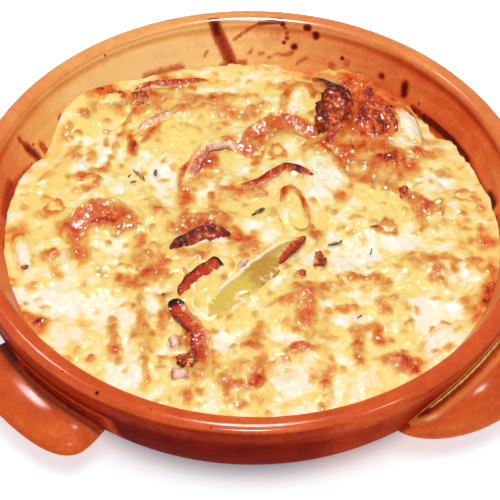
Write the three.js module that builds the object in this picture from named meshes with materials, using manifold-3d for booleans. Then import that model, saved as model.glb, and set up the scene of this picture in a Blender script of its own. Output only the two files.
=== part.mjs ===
// Potato and bacon gratin, baked in a round glazed earthenware dish with four lug handles.
// Millimetres, +Z up. The origin is the middle of the dish's flat foot, on the table.
import * as THREE from "three";
import { mergeVertices } from "three/addons/utils/BufferGeometryUtils.js";
import Module from "manifold-3d";

const wasm = await Module();
wasm.setup();

// Driving dimensions
const RIM_RADIUS = 140;
const DISH_HEIGHT = 62;
const LIP_WIDTH = 9.5;
const FOOT_RADIUS = 98;
const FLOOR_THICKNESS = 8;
const GRATIN_LEVEL = 40;
const SIDE_TOP = 32;
const GAP = 0.3;

// Fineness of the meshes
const DISH_SIDES = 56;
const LUG_SIDES = 12;
const LUG_ROWS = 9;
const GRATIN_RINGS = 22;
const STRIP_SIDES = 6;
const STRIP_STEPS = 8;
const LUMP_SIDES = 10;
const LUMP_ROWS = 6;
const BIT_SIDES = 8;
const BIT_ROWS = 5;
const BIT_SIZE = 5;

const FINISHES = {
  glaze: { color: 0xb4482a, roughness: 0.22 },
  crust: { color: 0xf0cf78, roughness: 0.4 },
  bacon: { color: 0x9c3320, roughness: 0.35 },
  char: { color: 0x3a1713, roughness: 0.5 },
  onion: { color: 0xb58a86, roughness: 0.35 },
  pepper: { color: 0xb9a63a, roughness: 0.3 },
  potato: { color: 0xf2e3ae, roughness: 0.45 },
};

const degrees = THREE.MathUtils.degToRad;

// The dish's section, from its foot up the outside to the lip, and down the inside to the floor
const LIP_CROWN_RADIUS = RIM_RADIUS - LIP_WIDTH / 2;
const LIP_INNER_RADIUS = RIM_RADIUS - LIP_WIDTH;
const OUTER_WALL = [
  [FOOT_RADIUS, 0],
  [112, 5.5],
  [124, 15.5],
  [131.5, 27],
  [136, 38],
  [139, 50],
  [RIM_RADIUS, 57],
];
const LIP = [
  [RIM_RADIUS - 0.5, 59.5],
  [RIM_RADIUS - 2, 61.2],
  [LIP_CROWN_RADIUS, DISH_HEIGHT],
  [LIP_INNER_RADIUS + 2.2, 61.5],
  [LIP_INNER_RADIUS + 0.7, 60.6],
];
const INNER_WALL = [
  [LIP_INNER_RADIUS, 59],
  [127.5, 51],
  [122, 40.5],
  [115, 30],
  [105, 19.5],
  [92, 11.8],
  [76, FLOOR_THICKNESS + 0.5],
  [60, FLOOR_THICKNESS],
];

// Lug handles, each pressed on by hand: its angle about the dish, its spans in degrees to either
// side, how far it stands out past the wall, its height above the table, half its thickness,
// and how blunt its ends are
const LUGS = [
  { angle: 45, before: 15.5, after: 15.5, reach: 24, height: 28.5, half: 10, blunt: 4 },
  { angle: 136, before: 15.5, after: 15.5, reach: 24, height: 28.5, half: 10, blunt: 4 },
  { angle: 224, before: 15, after: 15, reach: 26.3, height: 27, half: 10, blunt: 4 },
  { angle: 324.9, before: 23.5, after: 12, reach: 28.3, height: 29.1, half: 21.5, blunt: 1.5 },
];
const LUG_ROOT_RADIUS = 131;
const LUG_ROOT_DEPTH = 6;
const LUG_BLUNTNESS = 2;

// Places where the crust climbs the wall or draws back from it
const SHORE = [
  { angle: 139, spread: 7, rise: 6 },
  { angle: 128, spread: 5, rise: 3 },
  { angle: 151, spread: 5, rise: -5 },
  { angle: 100, spread: 8, rise: -2 },
  { angle: 66, spread: 6, rise: 2.5 },
  { angle: 77, spread: 4, rise: -4 },
  { angle: 39, spread: 5, rise: -4 },
  { angle: 20, spread: 5, rise: -2 },
  { angle: 338, spread: 15, rise: 3.5 },
  { angle: 300, spread: 30, rise: -1.5 },
];

// Swells and hollows of the crust over what is baked in it: place, half sizes, turn and height
const SWELLS = [
  { x: -77, y: 7, a: 17, b: 9, turn: 18, rise: 4 },
  { x: -84, y: -13, a: 6, b: 10, turn: 0, rise: 2.5 },
  { x: -22, y: 8, a: 17, b: 5, turn: 5, rise: 4 },
  { x: -24, y: 53, a: 13, b: 8, turn: 50, rise: 3 },
  { x: 10, y: 69, a: 20, b: 7, turn: 8, rise: 4 },
  { x: 43, y: 82, a: 11, b: 21, turn: -14, rise: 5 },
  { x: 61, y: 80, a: 14, b: 15, turn: 0, rise: 4 },
  { x: 25, y: 96, a: 12, b: 14, turn: 0, rise: 2.5 },
  { x: 78, y: 73, a: 9, b: 18, turn: 12, rise: 2 },
  { x: 62, y: 51, a: 20, b: 10, turn: -10, rise: 3 },
  { x: 20, y: 16, a: 10, b: 16, turn: 0, rise: 2.5 },
  { x: 0, y: 38, a: 22, b: 7, turn: 20, rise: 2 },
  { x: -67, y: 90, a: 18, b: 7, turn: 10, rise: 3 },
  { x: -18, y: 92, a: 30, b: 5, turn: -4, rise: 2.5 },
  { x: 24, y: -45, a: 12, b: 19, turn: 0, rise: 3.5 },
  { x: 22, y: -74, a: 20, b: 7, turn: 0, rise: 2.5 },
  { x: -1, y: -88, a: 15, b: 9, turn: 8, rise: 3.5 },
  { x: 2, y: -65, a: 6, b: 10, turn: 0, rise: 2 },
  { x: 70, y: -82, a: 11, b: 6, turn: 0, rise: 3 },
  { x: 52, y: -72, a: 4, b: 14, turn: 0, rise: 2.5 },
  { x: 91, y: -20, a: 14, b: 10, turn: 0, rise: 3 },
  { x: -51, y: -68, a: 5, b: 26, turn: -3, rise: 3 },
  { x: -65, y: -70, a: 4, b: 14, turn: 0, rise: 2 },
  { x: -46, y: -24, a: 10, b: 8, turn: 25, rise: 2.5 },
  { x: -26, y: -17, a: 14, b: 5, turn: 30, rise: 2 },
  { x: -82, y: -47, a: 20, b: 15, turn: -10, rise: -2.5 },
  { x: 54, y: -12, a: 14, b: 11, turn: 0, rise: -3 },
  { x: -50, y: 34, a: 12, b: 12, turn: 0, rise: -2.5 },
  { x: 95, y: -62, a: 12, b: 18, turn: -30, rise: -2 },
  { x: -14, y: -60, a: 8, b: 10, turn: 0, rise: -1.5 },
];
const BLISTER_SIZE = 11;
const BLISTER_HEIGHT = 1.3;

// Strips that stand or lie in the crust, with the points of each in plan.
// lean turns a strip about its own length: at 0 it lies flat, at 90 it stands on edge
const STRIPS = [
  { name: "bacon_long_upper", finish: "bacon", width: 7.2, thickness: 2.2, lean: -50, lift: 2,
    path: [[-14, -22.5], [-20.5, -28], [-26.5, -33], [-31.5, -38.5], [-34, -44]] },
  { name: "bacon_long_lower", finish: "bacon", width: 7.4, thickness: 2.6, lean: -12, lift: 1.4,
    path: [[-37, -46.5], [-33.5, -53.5], [-28.5, -61.5], [-24.5, -68.5], [-23, -76], [-22.3, -87]] },
  { name: "bacon_thin", finish: "bacon", width: 4.4, thickness: 2.6, lean: 40, lift: 1.4,
    path: [[-7, 30.5], [2, 32], [10, 37], [17, 41.8], [22, 42.4], [31, 38.5]] },
  { name: "onion_dark_crescent", finish: "char", width: 8.6, thickness: 3.2, lean: 38, lift: 1.4,
    path: [[-40, -13.5], [-34, -9.5], [-26.5, -5.5], [-19, -3], [-10, -2]] },
  { name: "onion_arc", finish: "onion", width: 7, thickness: 3, lean: 20, lift: 0.8,
    path: [[-32, 31], [-30.5, 40], [-26.5, 49], [-19, 56], [-12, 59], [-7.5, 55]] },
  { name: "onion_bacon_fold", finish: "bacon", width: 8.6, thickness: 3, lean: 24, lift: 1,
    path: [[-6, 61], [2, 65.8], [10, 69.5], [18, 72], [25, 69.5], [34, 63.5]] },
  { name: "pepper_strip", finish: "pepper", width: 14.5, thickness: 3.6, lean: 6, lift: 1.2,
    path: [[-22, -58], [-13.5, -46], [-2, -34], [9.5, -21], [24, -5.5]] },
  { name: "pepper_skin", finish: "bacon", width: 6, thickness: 2.6, lean: -20, lift: 3.4,
    path: [[13.5, -22.5], [17, -17.5], [21, -11.5], [26.5, -4.5]] },
  { name: "char_ribbon", finish: "char", width: 3.2, thickness: 2.6, lean: 30, lift: 1.8,
    path: [[28, 107.5], [36, 104], [43, 99.5], [48.5, 95], [51, 89.5]] },
  { name: "bacon_fold_outer", finish: "bacon", width: 4.4, thickness: 3, lean: 25, lift: 1.4,
    path: [[53.5, 85.5], [62, 84.5], [68.5, 80], [72.5, 73], [73.5, 65]] },
  { name: "bacon_fold_inner", finish: "bacon", width: 4.2, thickness: 2.8, lean: 25, lift: 1.4,
    path: [[57.5, 79], [62, 76.5], [65, 71.5], [65.5, 64.5]] },
  { name: "onion_strip_back", finish: "onion", width: 5, thickness: 2.4, lean: 15, lift: 0.7,
    path: [[-59, 67.5], [-54, 72.5], [-47, 78], [-39, 83.5]] },
  { name: "bacon_strip_back", finish: "bacon", width: 4.4, thickness: 2.6, lean: 30, lift: 1.2,
    path: [[-63, 94], [-56, 100], [-47, 102.2], [-36, 103.8], [-22, 107]] },
  { name: "bacon_left", finish: "bacon", width: 11, thickness: 3.6, lean: 12, lift: 0.6,
    path: [[-88, -3], [-84, 4], [-77, 9], [-68, 10.5], [-60, 8.5]] },
];

// Chunks and slices: half sizes, and their turn in the plane and lean across it.
// square is 2 for a round piece and more for a blocky one
const CHUNKS = [
  { name: "bacon_charred_chunk", finish: "char", x: 42, y: 79,
    size: [8, 15.5, 4.6], turn: -10, lean: 6, lift: 0.4, square: 2.2 },
  { name: "potato_chunk_right", finish: "potato", x: 79, y: 73,
    size: [6.5, 15, 4.2], turn: 14, lean: 10, lift: -0.5, square: 2.1 },
  { name: "potato_chunk_middle", finish: "potato", x: 38, y: 43,
    size: [7, 18, 4], turn: 30, lean: 6, lift: -0.6, square: 2.1 },
  { name: "potato_slice_centre", finish: "potato", x: 21.5, y: 15.5,
    size: [6.8, 15.5, 2.6], turn: 16, lean: 9, lift: 0.2, square: 2.1 },
  { name: "potato_slice_front", finish: "potato", x: -21.5, y: -40,
    size: [7, 13.5, 2.4], turn: -8, lean: -8, lift: 0.2, square: 2.1 },
  { name: "potato_slice_back", finish: "potato", x: 24.5, y: 92,
    size: [11, 8.6, 2.6], turn: 84, lean: -8, lift: 0.1, square: 2.1 },
  { name: "potato_edge_left", finish: "potato", x: -112, y: -16,
    size: [4.2, 11, 3], turn: 15, lean: 0, lift: -0.5, square: 2.1 },
  { name: "onion_layers_right", finish: "onion", x: 87.5, y: -69,
    size: [5, 13, 2.2], turn: -34, lean: 12, lift: 0.1, square: 2.4 },
  { name: "onion_cube_dark", finish: "char", x: -30, y: -83.5,
    size: [3.4, 2.9, 2.8], turn: 15, lean: 8, lift: 0.6, square: 4 },
  { name: "onion_cube_pale", finish: "onion", x: -32.5, y: -91.5,
    size: [4.2, 2.9, 2.4], turn: 5, lean: 0, lift: 0.2, square: 3.2 },
  { name: "onion_bit_front", finish: "onion", x: -36, y: -71.5,
    size: [2.6, 3.2, 2.2], turn: 20, lean: 0, lift: 0.2, square: 3 },
  { name: "onion_bit_middle", finish: "char", x: 33.5, y: -20,
    size: [2.6, 4, 2.2], turn: -10, lean: 8, lift: 0.5, square: 3.2 },
  { name: "onion_bit_centre", finish: "onion", x: -4, y: -24,
    size: [2, 3.6, 2], turn: -35, lean: 0, lift: 1.4, square: 3 },
  { name: "onion_bit_right", finish: "char", x: 77, y: 27,
    size: [2.4, 4.2, 2.2], turn: 8, lean: 0, lift: 0.4, square: 3 },
  { name: "bacon_bit_centre", finish: "bacon", x: 24, y: -29.5,
    size: [2.4, 2.1, 2], turn: 0, lean: 0, lift: 0.4, square: 2.6 },
  { name: "bacon_lump_back", finish: "bacon", x: -72, y: 88,
    size: [7.5, 4, 3.2], turn: 20, lean: 0, lift: 0.2, square: 2.6 },
  { name: "bacon_bit_back", finish: "char", x: -60, y: 91,
    size: [4.2, 2.8, 2.6], turn: 30, lean: 0, lift: 0.6, square: 3 },
];

const part = new THREE.Group();

// Adds a mesh to the part under its node's name
function addMesh(name, finish, geometry) {
  const material = new THREE.MeshStandardMaterial({ ...FINISHES[finish], metalness: 0 });
  const mesh = new THREE.Mesh(geometry, material);
  mesh.name = name;
  part.add(mesh);
}

// Turns a closed three.js geometry into a solid that can be joined and cut
function toSolid(geometry) {
  const bare = geometry.clone();
  bare.deleteAttribute("normal");
  bare.deleteAttribute("uv");
  const merged = mergeVertices(bare, 1e-3);
  const numProp = 3;
  const vertProperties = merged.attributes.position.array;
  const triVerts = merged.index.array;
  return new wasm.Manifold(new wasm.Mesh({ numProp, vertProperties, triVerts }));
}

// Turns a solid back into a geometry, keeping its largest piece
function toGeometry(solid) {
  const pieces = solid.decompose();
  pieces.sort((one, other) => other.volume() - one.volume());
  const mesh = pieces[0].getMesh();
  const geometry = new THREE.BufferGeometry();
  geometry.setAttribute("position", new THREE.BufferAttribute(mesh.vertProperties, 3));
  geometry.setIndex(new THREE.BufferAttribute(mesh.triVerts, 1));
  geometry.computeVertexNormals();
  return geometry;
}

// Moves each vertex of a geometry to where place(vertex) puts it
function reshape(geometry, place) {
  const position = geometry.attributes.position;
  const vertex = new THREE.Vector3();
  for (let i = 0; i < position.count; i += 1) {
    vertex.fromBufferAttribute(position, i);
    place(vertex);
    position.setXYZ(i, vertex.x, vertex.y, vertex.z);
  }
  return geometry;
}

// The radius of the inner wall at a height
function wallRadius(z) {
  for (let i = 0; i + 1 < INNER_WALL.length; i += 1) {
    const [upperRadius, upperZ] = INNER_WALL[i];
    const [lowerRadius, lowerZ] = INNER_WALL[i + 1];
    if (z >= lowerZ) {
      return THREE.MathUtils.mapLinear(z, lowerZ, upperZ, lowerRadius, upperRadius);
    }
  }
  return INNER_WALL[INNER_WALL.length - 1][0];
}

// The height at which the crust meets the wall, at an angle in radians
function shoreHeight(angle) {
  let height = GRATIN_LEVEL;
  for (const place of SHORE) {
    const turn = Math.cos(angle - degrees(place.angle));
    const spread = degrees(place.spread);
    height += place.rise * Math.exp((turn - 1) / (spread * spread));
  }
  return height;
}

// A fixed scatter of values from 0 to 1 on a grid, blended smoothly between its points
function scatter(i, j) {
  const value = Math.sin(i * 12.9898 + j * 78.233) * 43758.5453;
  return value - Math.floor(value);
}

function blisters(x, y) {
  const u = x / BLISTER_SIZE;
  const v = y / BLISTER_SIZE;
  const i = Math.floor(u);
  const j = Math.floor(v);
  const s = THREE.MathUtils.smoothstep(u - i, 0, 1);
  const t = THREE.MathUtils.smoothstep(v - j, 0, 1);
  const low = THREE.MathUtils.lerp(scatter(i, j), scatter(i + 1, j), s);
  const high = THREE.MathUtils.lerp(scatter(i, j + 1), scatter(i + 1, j + 1), s);
  return THREE.MathUtils.lerp(low, high, t) - 0.5;
}

// The height of the crust's face over the middle of the dish
function crustHeight(x, y) {
  let height = GRATIN_LEVEL + 2 * BLISTER_HEIGHT * blisters(x, y);
  for (const swell of SWELLS) {
    const turn = degrees(swell.turn);
    const along = (x - swell.x) * Math.cos(turn) + (y - swell.y) * Math.sin(turn);
    const across = (y - swell.y) * Math.cos(turn) - (x - swell.x) * Math.sin(turn);
    height += swell.rise * Math.exp(-((along / swell.a) ** 2) - (across / swell.b) ** 2);
  }
  const angle = Math.atan2(y, x);
  const shore = shoreHeight(angle);
  const nearness = Math.hypot(x, y) / wallRadius(shore);
  return THREE.MathUtils.lerp(height, shore, THREE.MathUtils.smoothstep(nearness, 0.86, 1));
}

function makeDish() {
  const section = [[0, 0], ...OUTER_WALL, ...LIP, ...INNER_WALL, [0, FLOOR_THICKNESS]];
  const points = section.map(([radius, z]) => new THREE.Vector2(radius, z));
  const bowl = new THREE.LatheGeometry(points, DISH_SIDES).rotateX(Math.PI / 2);
  let dish = toSolid(bowl);
  for (const lug of LUGS) {
    dish = dish.add(toSolid(makeLug(lug)));
  }
  return toGeometry(dish);
}

// The radius of the outside of the wall at a height
function outerRadius(z) {
  for (let i = 0; i + 1 < OUTER_WALL.length; i += 1) {
    const [lowerRadius, lowerZ] = OUTER_WALL[i];
    const [upperRadius, upperZ] = OUTER_WALL[i + 1];
    if (z <= upperZ) {
      return THREE.MathUtils.mapLinear(z, lowerZ, upperZ, lowerRadius, upperRadius);
    }
  }
  return RIM_RADIUS;
}

// A lug is a fat crescent that follows the wall, with its root buried in the wall
function makeLug({ angle, before, after, reach, height, half, blunt }) {
  const roll = new THREE.SphereGeometry(1, LUG_SIDES, LUG_ROWS).rotateZ(Math.PI / 2);
  return reshape(roll, (vertex) => {
    const about = degrees(angle - (vertex.x > 0 ? before : after) * vertex.x);
    const roundness = Math.sqrt(Math.max(1 - vertex.x ** 2, 1e-6));
    const fullness = Math.max(1 - Math.abs(vertex.x) ** blunt, 1e-6) ** (1 / blunt);
    const swell = Math.min(fullness / roundness, LUG_BLUNTNESS);
    const out = vertex.y * swell;
    const z = height + half * vertex.z * swell;
    const root = out > 0 ? LUG_ROOT_RADIUS : Math.min(LUG_ROOT_RADIUS, outerRadius(z) - 1);
    const radius = root + out * (out > 0 ? reach : LUG_ROOT_DEPTH);
    vertex.set(radius * Math.cos(about), radius * Math.sin(about), z);
  });
}

// The gratin: rings of triangles over the top, then down the wall and across the floor
function makeGratin() {
  const corners = [];
  const triangles = [];
  const ringStart = (ring) => (ring === 0 ? 0 : 1 + 3 * ring * (ring - 1));
  for (let ring = 0; ring <= GRATIN_RINGS; ring += 1) {
    const count = Math.max(6 * ring, 1);
    for (let k = 0; k < count; k += 1) {
      const angle = (2 * Math.PI * k) / count;
      const shore = shoreHeight(angle);
      const radius = ((wallRadius(shore) - GAP) * ring) / GRATIN_RINGS;
      const x = radius * Math.cos(angle);
      const y = radius * Math.sin(angle);
      corners.push(x, y, ring === GRATIN_RINGS ? shore : crustHeight(x, y));
    }
  }
  for (let ring = 1; ring <= GRATIN_RINGS; ring += 1) {
    const inner = ringStart(ring - 1);
    const outer = ringStart(ring);
    const innerCount = Math.max(6 * (ring - 1), 1);
    for (let side = 0; side < 6; side += 1) {
      for (let k = 0; k < ring; k += 1) {
        const near = inner + ((side * (ring - 1) + k) % innerCount);
        const nearNext = inner + ((side * (ring - 1) + k + 1) % innerCount);
        const far = outer + side * ring + k;
        const farNext = outer + ((side * ring + k + 1) % (6 * ring));
        triangles.push(near, far, farNext);
        if (k < ring - 1) {
          triangles.push(near, farNext, nearNext);
        }
      }
    }
  }
  // The side steps down the wall's own corners, so that it keeps its gap to each facet
  const edgeCount = 6 * GRATIN_RINGS;
  let upper = ringStart(GRATIN_RINGS);
  const sideCorners = INNER_WALL.filter(([, z]) => z < SIDE_TOP && z > FLOOR_THICKNESS);
  for (const [radius, z] of sideCorners) {
    const lower = corners.length / 3;
    for (let k = 0; k < edgeCount; k += 1) {
      const angle = (2 * Math.PI * k) / edgeCount;
      corners.push((radius - 2 * GAP) * Math.cos(angle), (radius - 2 * GAP) * Math.sin(angle), z + GAP);
    }
    for (let k = 0; k < edgeCount; k += 1) {
      const next = (k + 1) % edgeCount;
      triangles.push(upper + k, lower + k, lower + next, upper + k, lower + next, upper + next);
    }
    upper = lower;
  }
  const middle = corners.length / 3;
  corners.push(0, 0, FLOOR_THICKNESS + GAP);
  for (let k = 0; k < edgeCount; k += 1) {
    triangles.push(upper + k, middle, upper + ((k + 1) % edgeCount));
  }
  const geometry = new THREE.BufferGeometry();
  geometry.setAttribute("position", new THREE.Float32BufferAttribute(corners, 3));
  geometry.setIndex(triangles);
  return geometry;
}

// A strip is a ball drawn out along its path, with blunt ends; grow makes the pocket that it lies in
function makeStrip({ path, width, thickness, lean, lift }, grow) {
  const line = path.map(([x, y]) => new THREE.Vector3(x, y, crustHeight(x, y) + lift));
  const curve = new THREE.CatmullRomCurve3(line, false, "centripetal");
  const length = curve.getLength();
  const ball = new THREE.SphereGeometry(1, STRIP_SIDES, STRIP_STEPS + 1);
  const up = new THREE.Vector3(0, 0, 1);
  return reshape(ball, (vertex) => {
    const polar = Math.acos(THREE.MathUtils.clamp(vertex.y, -1, 1)) / Math.PI;
    const ring = Math.hypot(vertex.x, vertex.z);
    const blunt = (1 - (2 * polar - 1) ** 4) ** 0.5;
    const across = ring > 1e-6 ? vertex.x / ring : 0;
    const over = ring > 1e-6 ? vertex.z / ring : 0;
    const tangent = curve.getTangentAt(polar);
    const side = new THREE.Vector3().crossVectors(up, tangent).normalize();
    side.applyAxisAngle(tangent, degrees(lean));
    const normal = new THREE.Vector3().crossVectors(tangent, side);
    vertex.copy(curve.getPointAt(polar));
    vertex.addScaledVector(side, across * blunt * (width / 2 + grow));
    vertex.addScaledVector(normal, over * blunt * (thickness / 2 + grow));
    vertex.addScaledVector(tangent, grow * (2 * polar - 1) * Math.min(1, 8 / length + 0.6));
  });
}

// A chunk is a ball squared off towards a block, turned and sunk into the crust to about its middle
function makeChunk({ x, y, size, turn, lean, lift, square }, grow) {
  const small = size[1] < BIT_SIZE;
  const ball = new THREE.SphereGeometry(1, small ? BIT_SIDES : LUMP_SIDES, small ? BIT_ROWS : LUMP_ROWS);
  ball.rotateX(Math.PI / 2);
  reshape(ball, (vertex) => {
    const sum = Math.abs(vertex.x) ** square + Math.abs(vertex.y) ** square + Math.abs(vertex.z) ** square;
    vertex.multiplyScalar(sum ** (-1 / square));
    vertex.set(vertex.x * (size[0] + grow), vertex.y * (size[1] + grow), vertex.z * (size[2] + grow));
  });
  ball.rotateY(degrees(lean));
  ball.rotateZ(degrees(turn));
  return ball.translate(x, y, crustHeight(x, y) + lift);
}

// Each topping is cut clear of the ones before it, and the gratin of them all
function makeToppingsAndGratin() {
  let gratin = toSolid(makeGratin());
  let taken = null;
  const toppings = [
    ...STRIPS.map((piece) => ({ piece, make: makeStrip })),
    ...CHUNKS.map((piece) => ({ piece, make: makeChunk })),
  ];
  for (const { piece, make } of toppings) {
    const pocket = toSolid(make(piece, GAP));
    let solid = toSolid(make(piece, 0));
    solid = taken ? solid.subtract(taken) : solid;
    addMesh(piece.name, piece.finish, toGeometry(solid));
    taken = taken ? taken.add(pocket) : pocket;
  }
  gratin = gratin.subtract(taken);
  addMesh("gratin", "crust", toGeometry(gratin));
}

addMesh("dish", "glaze", makeDish());
makeToppingsAndGratin();

export default part;
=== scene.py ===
"""A potato and bacon gratin in its glazed earthenware dish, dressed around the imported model.

Lengths are in millimetres in the model's own frame, and MM turns them into metres.
"""
import math

import bmesh
import bpy
import numpy as np
from mathutils import Matrix, Vector, noise


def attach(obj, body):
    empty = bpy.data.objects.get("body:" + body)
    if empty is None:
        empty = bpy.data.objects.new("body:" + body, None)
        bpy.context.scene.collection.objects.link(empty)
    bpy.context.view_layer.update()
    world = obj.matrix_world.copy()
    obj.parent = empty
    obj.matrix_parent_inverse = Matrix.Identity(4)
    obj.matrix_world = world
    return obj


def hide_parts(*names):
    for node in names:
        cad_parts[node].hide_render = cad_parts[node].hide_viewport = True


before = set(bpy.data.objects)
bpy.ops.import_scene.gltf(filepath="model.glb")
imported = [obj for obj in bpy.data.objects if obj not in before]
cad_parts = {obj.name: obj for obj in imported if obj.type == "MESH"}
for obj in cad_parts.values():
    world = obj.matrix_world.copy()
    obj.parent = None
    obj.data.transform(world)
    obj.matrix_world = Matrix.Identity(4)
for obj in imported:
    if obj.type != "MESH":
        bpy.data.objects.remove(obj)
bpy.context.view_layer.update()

MM = 0.001

# The dish
RIM_RADIUS = 140
DISH_HEIGHT = 62
LIP_WIDTH = 9.5
FOOT_RADIUS = 98
FLOOR_THICKNESS = 8
GRATIN_LEVEL = 40
LIP_CROWN_RADIUS = RIM_RADIUS - LIP_WIDTH / 2
LIP_INNER_RADIUS = RIM_RADIUS - LIP_WIDTH
OUTER_WALL = [(FOOT_RADIUS, 0), (112, 5.5), (124, 15.5), (131.5, 27), (136, 38), (139, 50), (RIM_RADIUS, 57)]
LIP = [(RIM_RADIUS - 0.5, 59.5), (RIM_RADIUS - 2, 61.2), (LIP_CROWN_RADIUS, DISH_HEIGHT),
       (LIP_INNER_RADIUS + 2.2, 61.5), (LIP_INNER_RADIUS + 0.7, 60.6)]
INNER_WALL = [(LIP_INNER_RADIUS, 59), (127.5, 51), (122, 40.5), (115, 30), (105, 19.5), (92, 11.8),
              (76, FLOOR_THICKNESS + 0.5), (60, FLOOR_THICKNESS)]
# How far the lip is thicker at the front left: angle, spread, thickness
LIP_SWELL = (-128, 34, 1.3)
# The crease under the lip, inside: height, half width and depth. The glaze is also darkened there, as
# painted shade
LIP_CREASE = (56, 1.6, 0.8)
# Where the lugs are glossiest: place and radius
LUG_HIGHLIGHTS = [((-101, -102, 36), 9), ((108, -99.5, 43.5), 8)]

# The floor's glow is dimmed under and around the dish, a painted contact shadow, which fades out between
# these distances from the middle
PAINTED_FLOOR_SHADOW = (107, 126)

# The honey glaze pooled in the seam between the wall and the front right lug: its ends about the dish
HONEY_ENDS = (-57, -24)
DISH_STEPS = 600
SECTION_STEPS = 6

# Lug handles: angle about the dish, spans in degrees to either side, reach past the wall,
# height above the table, half thickness and how blunt the ends are
LUGS = [(45, 15.5, 15.5, 24, 28.5, 10, 4), (136, 15.5, 15.5, 24, 28.5, 10, 4),
        (224, 15, 15, 26.3, 27, 10, 4), (324.9, 23.5, 12, 28.3, 29.1, 21.5, 1.5)]
LUG_ROOT_RADIUS = 131
LUG_ROOT_DEPTH = 6
LUG_BLUNTNESS = 2

# Where the glaze inside is honey, ruddy or deep: angle and spread
HONEY_SIDE, RUDDY_SIDE, DEEP_SIDE = (118, 46), (38, 34), (178, 22)
# Where the glaze of the lip begins, and a distance past every seam
LIP_START = 58.7
FAR = 20

# Where the crust climbs the wall or draws back from it: angle, spread and rise
SHORE = [(139, 7, 6), (128, 5, 3), (151, 5, -5), (100, 8, -2), (66, 6, 2.5), (77, 4, -4), (39, 5, -4),
         (20, 5, -2), (338, 15, 3.5), (300, 30, -1.5)]

# Swells and hollows of the crust: x, y, half sizes, turn in degrees, rise
SWELLS = [
    (-77, 7, 17, 9, 18, 4), (-84, -13, 6, 10, 0, 2.5), (-22, 8, 17, 5, 5, 4), (-24, 53, 13, 8, 50, 3),
    (10, 69, 20, 7, 8, 4), (43, 82, 11, 21, -14, 5), (61, 80, 14, 15, 0, 4), (25, 96, 12, 14, 0, 2.5),
    (78, 73, 9, 18, 12, 2), (62, 51, 20, 10, -10, 3), (20, 16, 10, 16, 0, 2.5), (0, 38, 22, 7, 20, 2),
    (-67, 90, 18, 7, 10, 3), (-18, 92, 30, 5, -4, 2.5), (24, -45, 12, 19, 0, 3.5), (22, -74, 20, 7, 0, 2.5),
    (-1, -88, 15, 9, 8, 3.5), (2, -65, 6, 10, 0, 2), (70, -82, 11, 6, 0, 3), (52, -72, 4, 14, 0, 2.5),
    (91, -20, 14, 10, 0, 3), (-51, -68, 5, 26, -3, 3), (-65, -70, 4, 14, 0, 2), (-46, -24, 10, 8, 25, 2.5),
    (-26, -17, 14, 5, 30, 2), (-82, -47, 20, 15, -10, -2.5), (54, -12, 14, 11, 0, -3),
    (-50, 34, 12, 12, 0, -2.5), (95, -62, 12, 18, -30, -2), (-14, -60, 8, 10, 0, -1.5),
]
BLISTER_SIZE = 11
BLISTER_HEIGHT = 1.3
GRATIN_CUTS = 171
# The share of its radius over which the crust comes level with its shore, and the shore's usual radius
SHORE_BLEND = 0.14
SHORE_RADIUS = 122
# How far the gratin's side stays clear of the wall and the floor, and where its side begins
SIDE_CLEARANCE, FLOOR_CLEARANCE, SIDE_TOP = 0.6, 0.3, 32

# Lumps in layers: height, size, and a shift in x and y that sets each layer apart
WANDER_X = [(2.6, 6, 50, 0), (1.6, 2.6, 0, 90)]
WANDER_Y = [(2.6, 6, 0, 50), (1.6, 2.6, 90, 0)]
MOTTLE = [(1, 4.5, 11, 0), (0.7, 2.2, 0, 23)]
CRUMB = [(1.2, 8, 0, 60), (0.35, 3.2, 0, 0), (0.15, 1.7, 40, 0)]
RAGGED_SHORE = [(2.6, 6, 0, 0), (1.6, 2.5, 0, 40)]

# Browning: how far a place spreads past its half sizes, the strength of its core and of its halo, the
# widths of lines, rings and ridges, and the sizes of the bubbles that brown and of those that only rise
TOAST_SPREAD = 1.15
TOAST_CORE, TOAST_HALO, HALO_POWER = 0.72, 0.17, 0.35
LINE_HEAT, LINE_WIDTH, RING_WIDTH, RIDGE_WIDTH = 0.6, 1.3, 1.4, 1.6
BROWN_BUBBLE, BUBBLE, SMALL_BUBBLE = 6.5, 5.2, 2.7
CREAM_STRENGTH, BUTTER_STRENGTH = 0.75, 0.65

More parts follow.
